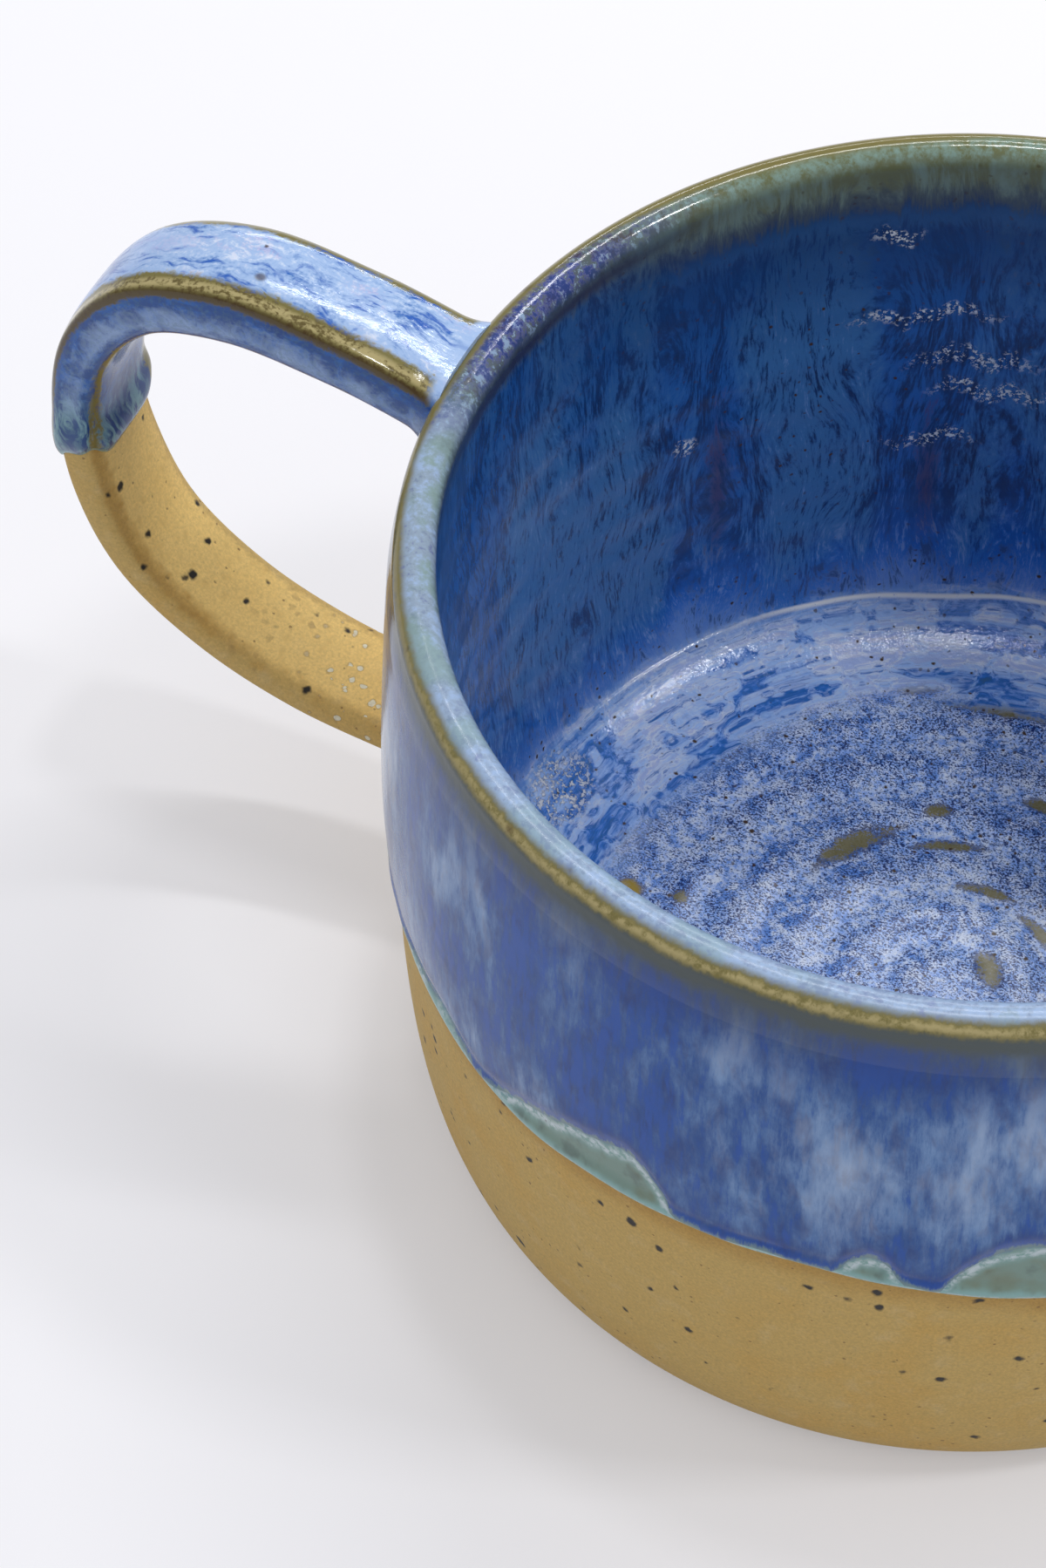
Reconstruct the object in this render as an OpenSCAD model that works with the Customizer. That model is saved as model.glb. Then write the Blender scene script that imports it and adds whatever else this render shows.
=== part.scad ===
// Wide stoneware mug with a pulled strap handle and two overlapping glaze coats.
// The origin is the centre of the foot, +Z is up and the handle points along -X.

/* [Thrown body] */
// Height of the clay rim over the table
mug_h = 70.7; // [62:0.1:90]
// Outer radius of the clay at the lip
rim_r = 51.4; // [49:0.1:54]
// Outer radius at the belly, the widest place
belly_r = 53.2; // [50:0.1:57]
// Height of the belly
belly_h = 41; // [34:0.5:48]
// Radius at which the wall meets the table
foot_r = 45.6; // [42:0.1:48]
// Thickness of the wall at the belly
wall_t = 4.4; // [3.8:0.1:5.5]
// Thickness of the clay lip
lip_t = 3; // [2.4:0.1:3.8]
// Height of the inner floor over the table
floor_h = 5.2; // [4.4:0.1:8]
// Width of the cove between the inner wall and the floor
cove_w = 11; // [8:0.5:15]
// Height of the cove over the floor
cove_h = 5.5; // [4:0.1:12]
// Width of the ring that the mug stands on
foot_ring_w = 5; // [3:0.1:8]
// Depth of the trimmed recess inside the foot ring
recess_h = 1.2; // [0.6:0.1:1.8]
// Height of the throwing ridges on the floor
ridge_h = 0.6; // [0.2:0.1:1]
// Distance from one throwing ridge to the next
ridge_pitch = 6.4; // [5:0.1:9]

/* [Handle] */
// Distance from the belly to the outermost place of the strap's centre line
handle_reach = 38.2; // [32:0.1:44]
// Height of the centre line's highest place over the rim
handle_rise = -0.2; // [-1:0.1:2]
// Height of the centre line at the lower joint
handle_low = 17.1; // [14:0.1:22]
// Greatest width of the strap
strap_w = 11.8; // [10:0.1:14]
// Greatest thickness of the strap
strap_t = 6.8; // [6:0.1:8]

/* [Joints] */
// How far the upper fillet stands out round the strap
upper_slip_t = 1.2; // [0.8:0.1:2]
// How far the upper fillet runs along the strap
upper_slip_len = 3; // [2:0.1:4.5]
// How far the lower fillet stands out round the strap
lower_slip_t = 1.3; // [0.8:0.1:2]
// How far the lower fillet runs along the strap
lower_slip_len = 3; // [2:0.1:4.5]
// Thickness of both fillets where they run out
feather_t = 0.12; // [0.08:0.01:0.2]

/* [Glaze] */
// Thickness of the liner glaze
liner_t = 0.5; // [0.3:0.05:0.8]
// Thickness of the glaze over the lip
rim_glaze_t = 0.4; // [0.2:0.05:0.6]
// Thickness of the pale green coat
base_coat_t = 0.35; // [0.25:0.05:0.6]
// Thickness of the blue coat over it
blue_coat_t = 0.35; // [0.25:0.05:0.6]
// Thickness of the glaze on the handle
handle_glaze_t = 0.4; // [0.25:0.05:0.6]
// How far the rim glaze reaches down inside
rim_band_in = 4; // [3:0.1:8]
// How far the rim glaze reaches down outside
rim_band_out = 5; // [4:0.1:8]
// Mean height of the lower edge of the pale green coat
base_edge_h = 33.9; // [28:0.1:40]
// Rise and fall of that edge
base_edge_wave = 1.1; // [0:0.1:2]
// Least distance from that edge up to the blue coat
blue_lap = 1; // [0.6:0.1:2]
// Height of the tallest arch in the lower edge of the blue coat
arch_h = 7.4; // [3:0.1:9]
// Extra thickness of the rolled edge of each coat
roll_t = 0.35; // [0.2:0.05:0.5]
// Width of the rolled edge
roll_w = 2.4; // [1.5:0.1:4]
// Extra thickness of the glaze beads at the end of the handle coat
bead_t = 0.55; // [0.2:0.05:0.8]
// Clearance round the handle in the coats
slot_gap = 0.3; // [0.1:0.05:0.5]

/* [Hidden] */

// Colours
clay = "#c9a766";
slip_clay = "#b8924f";
deep_blue = "#2f5590";
lavender_blue = "#8fa6cf";
olive = "#8f8447";
pale_green = "#9dbfa6";

// A hair of room between two curved faces that lie on each other
seat_gap = 0.03;
// How far a cut runs past what it cuts
overrun = 2;

// Roundness of the foot corner: 2 is an ellipse, more is squarer
foot_power = 3.8;
// How late the wall draws in towards the rim
draw_power = 1.38;
// Squareness of the strap's section
section_power = 3.4;

// Faces round the coats, round the strap, and along each span of the strap
coat_sides = 108;
strap_sides = 24;
span_steps = 4;
slip_steps = 8;

// Centre line of the strap, from inside the wall at the rim to inside the wall at the foot.
// Each row is the share of the reach out from the wall, the share of the handle's height,
// and the shares of the greatest thickness and width.
strap_shares = [
    [-0.06, 0.922, 0.93, 0.90],
    [0.10, 0.959, 0.94, 0.88],
    [0.286, 0.987, 0.98, 0.87],
    [0.543, 1, 1, 0.87],
    [0.782, 0.939, 0.85, 0.87],
    [0.941, 0.79, 0.72, 0.88],
    [1, 0.604, 0.71, 0.92],
    [0.977, 0.413, 0.75, 0.98],
    [0.875, 0.237, 0.71, 1],
    [0.67, 0.11, 0.67, 1],
    [0.422, 0.037, 0.63, 1],
    [0.159, 0.008, 0.61, 0.98],
    [-0.06, 0, 0.61, 0.98]
];

// Arches in the lower edge of the blue coat. Each row is the angle of the crown,
// the spread to either side in degrees, and the share of the tallest arch.
arch_shares = [
    [-155, 8, 12, 0.25],
    [-129, 9, 8, 0.20],
    [-101, 19, 6, 0.83],
    [-74, 4, 5.5, 0.60],
    [-61.5, 8, 15, 1],
    [-28, 13, 8, 0.55],
    [-9, 5, 8, 0.35],
    [22, 16, 9, 0.80],
    [58, 8, 18, 0.50],
    [94, 9, 6, 0.70],
    [121, 8, 15, 0.95],
    [158, 7, 11, 0.45]
];

lip_z = mug_h - lip_t / 2;
lip_mid_r = rim_r - lip_t / 2;
rim_low_z = mug_h - rim_band_out;
liner_top_z = mug_h - rim_band_in;
handle_out = belly_r + handle_reach;
handle_top = mug_h + handle_rise;
handle_span = handle_top - handle_low;

function clamp(x, low, high) = min(max(x, low), high);
function mix(a, b, t) = a + (b - a) * t;
function soften(t) = t * t * (3 - 2 * t);

// The clay's outer wall
function low_wall_r(z) =
    foot_r + (belly_r - foot_r) * pow(max(0, 1 - pow(1 - z / belly_h, foot_power)), 1 / foot_power);
function high_wall_r(z) =
    belly_r - (belly_r - rim_r) * pow(clamp((z - belly_h) / (lip_z - belly_h), 0, 1), draw_power);
function wall_r(z) = z < belly_h ? low_wall_r(z) : high_wall_r(z);
function wall_t_at(z) = mix(wall_t, lip_t, soften(clamp((z - belly_h) / (lip_z - belly_h), 0, 1)));
function inner_r(z) = wall_r(z) - wall_t_at(z);

cove_top_z = floor_h + cove_h;
cove_outer_r = inner_r(cove_top_z);
floor_r = cove_outer_r - cove_w;

// The throwing ridges fade out towards the cove
function floor_z(r) =
    floor_h - ridge_h / 2 * (1 - cos(360 * r / ridge_pitch)) * soften(clamp((floor_r - r) / ridge_pitch, 0, 1));

// Outlines of the clay as points of radius and height
floor_steps = round(floor_r / ridge_pitch * 7);
floor_path = [for (i = [0 : floor_steps]) let (r = floor_r * i / floor_steps) [r, floor_z(r)]];
cove_path = [for (a = [10 : 10 : 90]) [floor_r + cove_w * sin(a), cove_top_z - cove_h * cos(a)]];
inner_path = [for (i = [1 : 10]) let (z = mix(cove_top_z, liner_top_z, i / 10)) [inner_r(z), z]];
lip_inner_path = [for (i = [1 : 3]) let (z = mix(liner_top_z, lip_z, i / 4)) [inner_r(z), z]];
lip_path = [for (a = [180 : -15 : 0]) [lip_mid_r + lip_t / 2 * cos(a), lip_z + lip_t / 2 * sin(a)]];
lip_outer_path = [for (i = [1 : 4]) let (z = mix(lip_z, rim_low_z, i / 4)) [wall_r(z), z]];
upper_path = [for (i = [1 : 8]) let (z = mix(rim_low_z, belly_h, i / 8)) [wall_r(z), z]];
lower_path = [for (a = [2, 6, 12, 20, 30, 40, 50, 60, 68, 75, 80])
    let (z = belly_h * (1 - pow(sin(a), 2 / foot_power))) [wall_r(z), z]];
foot_path = [
    [foot_r, 0],
    [foot_r - foot_ring_w, 0],
    [foot_r - foot_ring_w - recess_h, recess_h],
    [0, recess_h]
];

function last(path) = path[len(path) - 1];
function reversed(path) = [for (i = [len(path) - 1 : -1 : 0]) path[i]];

// Left normal of a path at point i, level or upright at the path's ends
function normal_at(path, i) =
    let (d = path[min(i + 1, len(path) - 1)] - path[max(i - 1, 0)]) [-d[1], d[0]] / norm(d);
function squared(n) = abs(n[0]) > abs(n[1]) ? [sign(n[0]), 0] : [0, sign(n[1])];
function raised(path, t) =
    [for (i = [0 : len(path) - 1])
        let (n = normal_at(path, i), is_end = i == 0 || i == len(path) - 1)
        path[i] + (is_end ? squared(n) : n) * t[i]];

// Points of the strap's centre line: distance from the axis, height, thickness and width
strap_line = [for (s = strap_shares) let (z = handle_low + handle_span * s[1])
    [mix(wall_r(z), handle_out, s[0]), z, strap_t * s[2], strap_w * s[3]]];
line_last = len(strap_line) - 1;

function line_point(i) =
    i < 0 ? 2 * strap_line[0] - strap_line[1]
    : i > line_last ? 2 * strap_line[line_last] - strap_line[line_last - 1]
    : strap_line[i];
function blend_four(a, b, c, d, t) =
    (2 * b + (c - a) * t + (2 * a - 5 * b + 4 * c - d) * t * t + (3 * b - a - 3 * c + d) * t * t * t) / 2;
function line_at(u) =
    let (i = clamp(floor(u), 0, line_last - 1))
    blend_four(line_point(i - 1), line_point(i), line_point(i + 1), line_point(i + 2), u - i);
function line_normal(u) =
    let (a = line_at(u - 0.05), b = line_at(u + 0.05), d = [b[0] - a[0], b[1] - a[1]])
    [-d[1], d[0]] / norm(d);

// A point of the strap's surface, at place u along it and angle a round it, raised by grow
function rounded(x) = sign(x) * pow(abs(x), 2 / section_power);
function strap_point(u, a, grow) =
    let (c = line_at(u), n = line_normal(u), h = (c[2] / 2 + grow) * rounded(sin(a)))
    [-c[0] - n[0] * h, (c[3] / 2 + grow) * rounded(cos(a)), c[1] + n[1] * h];
function strap_angle(j) = 360 * j / strap_sides;

// The fillets thicken towards the wall
function off_wall(p) = norm([p[0], p[1]]) - wall_r(p[2]);
function fillet(u, a, thick, length) =
    thick * pow(clamp(1 - off_wall(strap_point(u, a, 0)) / length, 0, 1), 2) + feather_t;

// The upper fillet is low on top, where the strap lies level with the lip
upper_crest_share = 0.3;
function upper_fillet(u, a) =
    fillet(u, a, upper_slip_t * mix(1, upper_crest_share, max(0, sin(a))), upper_slip_len);
function lower_fillet(u, a) = fillet(u, a, lower_slip_t, lower_slip_len);

// Lower edges of the two outer coats at an angle round the mug
function base_edge(az) = base_edge_h + base_edge_wave * cos(5 * (az + 83));
function turn_from(az, crown) = (az - crown + 900) % 360 - 180;
// An arch falls steeply on its narrower side and slowly on the other
function arch_at(az, s) =
    let (d = turn_from(az, s[0]), spread = d < 0 ? s[1] : s[2], t = abs(d) / spread)
    t < 1 ? s[3] * (1 - pow(t, spread == min(s[1], s[2]) ? 3 : 1.3)) : 0;
function arches(az) = max([for (s = arch_shares) arch_at(az, s)]);
function blue_edge(az) = base_edge(az) + blue_lap + arch_h * arches(az);

// Share of the way up from a coat's edge to its top, and the thickness there
coat_row_shares = [0, 0.015, 0.04, 0.075, 0.13, 0.3, 0.5, 0.75, 1];
function roll(h) = roll_t * sin(180 * clamp(h / roll_w, 0, 1));
function edge_round(h) = pow(clamp(h * 3 / roll_w, 0, 1), 0.5);
function coat_thick(h, t) = (t + roll(h)) * mix(0.15, 1, edge_round(h));

// How far a coat's flat faces lie from the curve that they follow, round the wall and up it
round_dip = belly_r * (1 - cos(180 / coat_sides));
coat_rows = [for (s = coat_row_shares) mix(base_edge_h, rim_low_z, s)];
row_dip = max([for (i = [1 : len(coat_rows) - 1]) let (a = coat_rows[i - 1], b = coat_rows[i])
    abs(wall_r((a + b) / 2) - (wall_r(a) + wall_r(b)) / 2)]);

// What a coat lies on: the clay, or the pale green coat over the clay
clay_gap = seat_gap + round_dip + row_dip;
coat_gap = seat_gap + row_dip;
function clay_face(z) = wall_r(z) + clay_gap;
function base_coat_face(z, az) = clay_face(z) + coat_thick(z - base_edge(az), base_coat_t) + coat_gap;
coats_t = clay_gap + base_coat_t + coat_gap + blue_coat_t;

// One closed loop of a coat's section at angle az, from its edge up outside and down inside
function coat_loop(az, edge, on_base, t) =
    let (heights = [for (s = coat_row_shares) mix(edge, rim_low_z, s)],
        under = [for (z = heights) on_base ? base_coat_face(z, az) : clay_face(z)],
        n = len(heights))
    concat(
        [for (i = [0 : n - 1]) let (r = under[i] + coat_thick(heights[i] - edge, t))
            [r * cos(az), r * sin(az), heights[i]]],
        [for (i = [n - 1 : -1 : 0]) [under[i] * cos(az), under[i] * sin(az), heights[i]]]
    );

// Glaze on the handle ends in two lobes on the bend
glaze_end_share = 0.538;
lobe_share = 0.0067;
glaze_steps = 22;
function under_glaze(u, a) =
    3 * seat_gap + (u < 1 ? upper_fillet(u, a) : feather_t * clamp(1 - (u - 1) * span_steps, 0, 1));
function handle_glaze_end(a) = line_last * (glaze_end_share - lobe_share * cos(3 * (a - 205)));
function bead(t) = bead_t * pow(sin(180 * clamp((t - 0.84) / 0.16, 0, 1)), 2);
function end_round(t) = sqrt(clamp((1 - t) * 18, 0, 1));
function glaze_places(end) = concat(
    [for (i = [0 : slip_steps - 1]) i / slip_steps],
    [for (i = [0 : glaze_steps]) mix(1, end, i / glaze_steps)]
);

// Faces of a surface that closes both ways: a ring of loops, each with the same number of points
function torus_faces(rings, loop) = [for (i = [0 : rings - 1], j = [0 : loop - 1], k = [0, 1])
    let (a = i * loop + j, b = i * loop + (j + 1) % loop,
        c = (i + 1) % rings * loop + (j + 1) % loop, d = (i + 1) % rings * loop + j)
    k == 0 ? [a, b, c] : [a, c, d]];

module loops_solid(loops) {
    polyhedron(points = [for (l = loops) each l], faces = torus_faces(len(loops), len(loops[0])));
}

// A sweep with flat ends
module swept_solid(loops) {
    n = len(loops[0]);
    m = len(loops);
    sides = [for (i = [0 : m - 2], j = [0 : n - 1], k = [0, 1])
        let (a = i * n + j, b = i * n + (j + 1) % n, c = (i + 1) * n + (j + 1) % n, d = (i + 1) * n + j)
        k == 0 ? [a, b, c] : [a, c, d]];
    caps = [[for (j = [n - 1 : -1 : 0]) j], [for (j = [0 : n - 1]) (m - 1) * n + j]];
    polyhedron(points = [for (l = loops) each l], faces = concat(sides, caps));
}

// All that lies inside the clay's outer wall, carried on straight up over the lip
module inside_the_wall() {
    rotate_extrude($fn = 180)
        polygon(concat(
            [[0, -overrun], [foot_r, -overrun]],
            reversed(concat([[rim_r, lip_z]], lip_outer_path, upper_path, lower_path)),
            [[rim_r, handle_top + strap_t], [0, handle_top + strap_t]]
        ));
}

// Room for the handle's root in the coats
root = line_at(0.4);
slot_w = root[3] + 2 * (upper_slip_t + feather_t + handle_glaze_t + slot_gap);
slot_low_z = root[1] - root[2] / 2
    - upper_slip_t - feather_t - handle_glaze_t - slot_gap;
slot_inner_x = sqrt(pow(min(rim_r, wall_r(slot_low_z)), 2) - pow(slot_w / 2, 2));
slot_corner_r = slot_w / 4;

module slot_outline() {
    half = slot_w / 2 - slot_corner_r;
    top = mug_h + overrun - slot_low_z;
    polygon(concat(
        [for (a = [180 : 15 : 270]) slot_corner_r * [cos(a), 1 + sin(a)] - [half, 0]],
        [for (a = [270 : 15 : 360]) slot_corner_r * [cos(a), 1 + sin(a)] + [half, 0]],
        [[slot_w / 2, top], [-slot_w / 2, top]]
    ));
}

module handle_slot() {
    translate([-slot_inner_x, 0, slot_low_z])
        rotate([90, 0, -90])
            linear_extrude(height = max(belly_r, rim_r) + coats_t - slot_inner_x + overrun)
                slot_outline();
}

module turned(path) {
    rotate_extrude($fn = 180) polygon(path);
}

// Clay pieces
module body() {
    color(clay)
        turned(concat(
            floor_path, cove_path, inner_path, lip_inner_path, lip_path, lip_outer_path,
            upper_path, lower_path, foot_path
        ));
}

module handle() {
    color(clay)
        difference() {
            swept_solid([for (i = [0 : line_last * span_steps])
                [for (j = [0 : strap_sides - 1]) strap_point(i / span_steps, strap_angle(j), 0)]]);
            inside_the_wall();
        }
}

module upper_joint_slip() {
    color(slip_clay)
        difference() {
            loops_solid([for (j = [0 : strap_sides - 1]) let (a = strap_angle(j)) concat(
                [for (i = [0 : slip_steps]) strap_point(i / slip_steps, a, seat_gap)],
                [for (i = [slip_steps : -1 : 0])
                    strap_point(i / slip_steps, a, seat_gap + upper_fillet(i / slip_steps, a))]
            )]);
            inside_the_wall();
        }
}

module lower_joint_slip() {
    color(slip_clay)
        difference() {
            loops_solid([for (j = [0 : strap_sides - 1]) let (a = strap_angle(j)) concat(
                [for (i = [slip_steps : -1 : 0]) strap_point(line_last - i / slip_steps, a, seat_gap)],
                [for (i = [0 : slip_steps])
                    let (u = line_last - i / slip_steps) strap_point(u, a, seat_gap + lower_fillet(u, a))]
            )]);
            inside_the_wall();
        }
}

// Glaze layers
module liner_glaze() {
    path = concat(floor_path, cove_path, inner_path);
    color(deep_blue)
        turned(concat(path, reversed(raised(path, [for (p = path) liner_t]))));
}

module rim_glaze() {
    path = concat([last(inner_path)], lip_inner_path, lip_path, lip_outer_path);
    thick = [for (p = path) p[0] < lip_mid_r
        ? mix(rim_glaze_t, liner_t, soften(clamp((mug_h - p[1]) / rim_band_in, 0, 1)))
        : mix(rim_glaze_t, coats_t, soften(clamp((mug_h - p[1]) / rim_band_out, 0, 1)))];
    color(olive)
        difference() {
            turned(concat(path, reversed(raised(path, thick))));
            handle_slot();
        }
}

module base_glaze_coat() {
    color(pale_green)
        difference() {
            loops_solid([for (j = [0 : coat_sides - 1]) let (az = 360 * j / coat_sides)
                coat_loop(az, base_edge(az), false, base_coat_t)]);
            handle_slot();
        }
}

module blue_glaze_coat() {
    color(lavender_blue)
        difference() {
            loops_solid([for (j = [0 : coat_sides - 1]) let (az = 360 * j / coat_sides)
                coat_loop(az, blue_edge(az), true, blue_coat_t)]);
            handle_slot();
        }
}

module handle_glaze() {
    color(lavender_blue)
        difference() {
            loops_solid([for (j = [0 : strap_sides - 1])
                let (a = strap_angle(j), end = handle_glaze_end(a), places = glaze_places(end)) concat(
                    [for (u = places) strap_point(u, a, under_glaze(u, a))],
                    [for (u = reversed(places)) strap_point(u, a, under_glaze(u, a)
                        + handle_glaze_t * mix(0.2, 1, end_round(u / end)) + bead(u / end))]
                )]);
            inside_the_wall();
        }
}

body();
handle();
upper_joint_slip();
lower_joint_slip();
liner_glaze();
rim_glaze();
base_glaze_coat();
blue_glaze_coat();
handle_glaze();
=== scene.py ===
# A thrown stoneware mug with a pulled strap handle, glazed blue over pale green.
# Run as a script, it dresses the measured frame of the mug with finished pieces.
import math
from functools import reduce

import bpy
import numpy as np
from mathutils import Euler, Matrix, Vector


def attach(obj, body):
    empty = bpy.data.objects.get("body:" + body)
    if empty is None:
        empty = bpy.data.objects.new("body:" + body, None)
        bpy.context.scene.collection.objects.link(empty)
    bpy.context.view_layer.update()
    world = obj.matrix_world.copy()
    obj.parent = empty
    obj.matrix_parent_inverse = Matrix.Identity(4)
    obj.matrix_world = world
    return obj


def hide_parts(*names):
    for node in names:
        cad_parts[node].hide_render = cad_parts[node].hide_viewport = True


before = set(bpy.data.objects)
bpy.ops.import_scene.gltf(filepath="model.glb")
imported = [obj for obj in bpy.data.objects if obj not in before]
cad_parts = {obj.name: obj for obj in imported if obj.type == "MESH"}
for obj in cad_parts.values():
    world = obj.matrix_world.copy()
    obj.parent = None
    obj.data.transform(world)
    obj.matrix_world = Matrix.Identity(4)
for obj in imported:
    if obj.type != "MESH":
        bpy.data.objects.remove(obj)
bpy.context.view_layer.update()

bl_info = {
    "name": "Stoneware Mug",
    "version": (1, 0, 0),
    "blender": (4, 5, 0),
    "location": "View3D > Sidebar > Mug",
    "description": "Throws, joins and glazes a stoneware mug, and sets its studio",
    "category": "Add Mesh",
}

MM = 0.001


# ---------------------------------------------------------------- sizes and colours


def length(about, millimetres):
    """A length, written in millimetres and kept in metres."""
    return bpy.props.FloatProperty(
        description=about, default=millimetres * MM, min=0, unit="LENGTH", precision=5
    )


def share(about, value):
    """A plain number without a unit."""
    return bpy.props.FloatProperty(description=about, default=value)


def turn(about, degrees):
    """An angle, written in degrees and kept in radians."""
    return bpy.props.FloatProperty(
        description=about, default=math.radians(degrees), subtype="ANGLE"
    )


def colour(about, rgb):
    """A linear colour."""
    return bpy.props.FloatVectorProperty(
        description=about, default=rgb, size=3, min=0, max=1, subtype="COLOR"
    )


def named(group):
    """Labels every property of a group with its key, as in Rim radius."""
    for key, made in group.__annotations__.items():
        made.keywords["name"] = key.replace("_", " ").capitalize()
    return group


@named
class MugBowl(bpy.types.PropertyGroup):
    """Sizes of the thrown bowl."""

    height: length("Clay rim over the table", 70.7)
    rim_radius: length("Outer radius of the clay at the lip", 51.4)
    belly_radius: length("Outer radius at the widest place", 53.2)
    belly_height: length("Height of the widest place", 41)
    foot_radius: length("Radius at which the wall meets the table", 45.6)
    foot_power: share("2 is an ellipse, more is squarer", 3.8)
    draw_power: share("How late the wall draws in towards the rim", 1.38)
    wall: length("Thickness of the wall at the belly", 4.4)
    lip: length("Thickness of the clay lip", 3)
    floor: length("Height of the inner floor over the table", 5.2)
    cove_width: length("Width of the cove round the floor", 11)
    cove_height: length("Height of the cove over the floor", 5.5)
    foot_ring: length("Width of the ring that the mug stands on", 5)
    recess: length("Depth of the trimmed recess inside the foot ring", 1.2)
    ridge_height: length("Height of the throwing ridges on the floor", 0.6)
    ridge_pitch: length("Distance from one throwing ridge to the next", 6.4)
    ripple: length("Depth of the throwing ripples on the inner wall", 0.09)


@named
class MugStrap(bpy.types.PropertyGroup):
    """Sizes of the pulled strap."""

    reach: length("From the belly to the outermost place of the centre line", 38.2)
    rise: length("Highest place of the centre line over the rim", -0.2)
    low: length("Height of the centre line at the lower joint", 17.1)
    width: length("Greatest width of the strap", 11.8)
    thickness: length("Greatest thickness of the strap", 6.8)
    section_power: share("Squareness of the strap's section", 3.4)
    edge_bead: length("Ridge along the near upper edge", 0.34)
    upper_slip: length("How far the upper fillet stands out", 1.2)
    upper_slip_run: length("How far it runs along the strap", 3)
    lower_slip: length("How far the lower fillet stands out", 1.3)
    lower_slip_run: length("How far it runs along the strap", 3)


@named
class MugGlaze(bpy.types.PropertyGroup):
    """Thicknesses and edges of the glazes."""

    liner: length("Thickness of the liner glaze", 0.5)
    ridge_fill: share("Share of the floor's ridges that shows through the liner", 0.55)
    rim: length("Thickness of the glaze over the lip", 0.4)
    base: length("Thickness of the pale green coat", 0.35)
    blue: length("Thickness of the blue coat over it", 0.35)
    strap: length("Thickness of the glaze on the strap", 0.4)
    seat: length("Room between a glaze and what it lies on", 0.03)
    band_in: length("How far the rim glaze reaches down inside", 4)
    band_out: length("How far the rim glaze reaches down outside", 5)
    edge_height: length("Mean height of the green coat's lower edge", 33.9)
    edge_wave: length("Rise and fall of that edge", 1.1)
    edge_turn: turn("Where that wave crests", -83)
    blue_lap: length("Least distance from that edge up to the blue coat", 1)
    arch_height: length("Tallest arch in the blue coat's lower edge", 7.4)
    roll: length("Extra thickness of a coat's rolled edge", 0.35)
    roll_width: length("Width of the rolled edge", 2.4)
    bead: length("Extra thickness where the strap's glaze ends", 0.55)
    end_share: share("Where the strap's glaze ends, as a share of its line", 0.538)
    lobe_share: share("How far its lobes run on, as a share of the line", 0.0067)


@named
class MugClayColours(bpy.types.PropertyGroup):
    """Colours of the bare clay."""

    ground: colour("The bare clay", (0.60, 0.41, 0.135))
    warm: colour("Where the fire flashed it", (0.62, 0.37, 0.085))
    pale: colour("Rubbed high places", (0.66, 0.51, 0.26))
    # Painted light: the paler, yellower colour laid on the strap's upward inner face
    bright: colour("The strap's inner face", (0.92, 0.64, 0.22))
    flush: colour("The halo under the glaze edge", (0.46, 0.25, 0.05))
    ash: colour("Grey glassy specks by the wall", (0.78, 0.76, 0.62))
    iron: colour("Specks in the clay", (0.014, 0.010, 0.007))
    grain: colour("Fine brown grains", (0.25, 0.14, 0.05))


@named
class MugGlazeColours(bpy.types.PropertyGroup):
    """Colours of the glazes."""

    # Navy is the dark glaze of the wall's hair, and is also laid as painted shade at the top of the
    # far inner wall
    navy: colour("Thick dark glaze under the lip", (0.002, 0.015, 0.068))
    deep: colour("The inner wall's ground", (0.003, 0.05, 0.2))
    middle: colour("The hair of the inner wall", (0.012, 0.13, 0.46))
    slate: colour("The paler tongues of the inner wall", (0.052, 0.2, 0.46))
    bright: colour("Fringes and swirls", (0.018, 0.19, 0.7))
    plum: colour("Purple brown runs", (0.065, 0.045, 0.13))
    pool: colour("Pale glaze pooled in the cove", (0.4, 0.61, 0.98))
    ground: colour("Periwinkle ground of the floor", (0.36, 0.55, 0.98))
    fleck: colour("Dark flecks of the floor", (0.012, 0.028, 0.15))
    olive: colour("Where the glaze breaks thin", (0.19, 0.165, 0.055))
    # Pale ochre on the crest of an edge: partly thin glaze, partly painted highlight
    ochre: colour("Thin glaze on an edge in full light", (0.5, 0.42, 0.21))
    brown: colour("Dark marks on an edge", (0.055, 0.022, 0.006))
    shadow: colour("Thin dark glaze beside an edge", (0.075, 0.095, 0.098))
    moss: colour("Green olive inside the lip", (0.15, 0.165, 0.075))
    violet: colour("Mottles of the lip by the strap", (0.1, 0.11, 0.34))
    sky: colour("Pale blue on the lip and the strap", (0.36, 0.51, 0.8))
    lavender: colour("Clouds of the strap", (0.44, 0.44, 0.72))
    cobalt: colour("Streaks of the lip and the strap", (0.018, 0.1, 0.48))
    teal: colour("Thick lobes of the strap", (0.06, 0.15, 0.24))
    outer: colour("Ground of the outer coat", (0.014, 0.078, 0.31))
    cloud: colour("Pale clouds of the outer coat", (0.17, 0.32, 0.62))
    indigo: colour("Dark clouds of the outer coat", (0.01, 0.036, 0.2))
    celadon: colour("The first coat left alone", (0.22, 0.33, 0.29))
    turquoise: colour("Its rolled edge", (0.28, 0.50, 0.50))
    mustard: colour("Worn spot at the floor's edge", (0.36, 0.24, 0.008))
    haze: colour("Grey blue of the lip", (0.27, 0.35, 0.46))
    # Painted glints: near white laid on the liner's crater rows and on the step round the cove
    frost: colour("Frosted craters", (0.9, 0.92, 0.95))
    white: colour("The palest glaze", (0.82, 0.88, 0.98))


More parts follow.
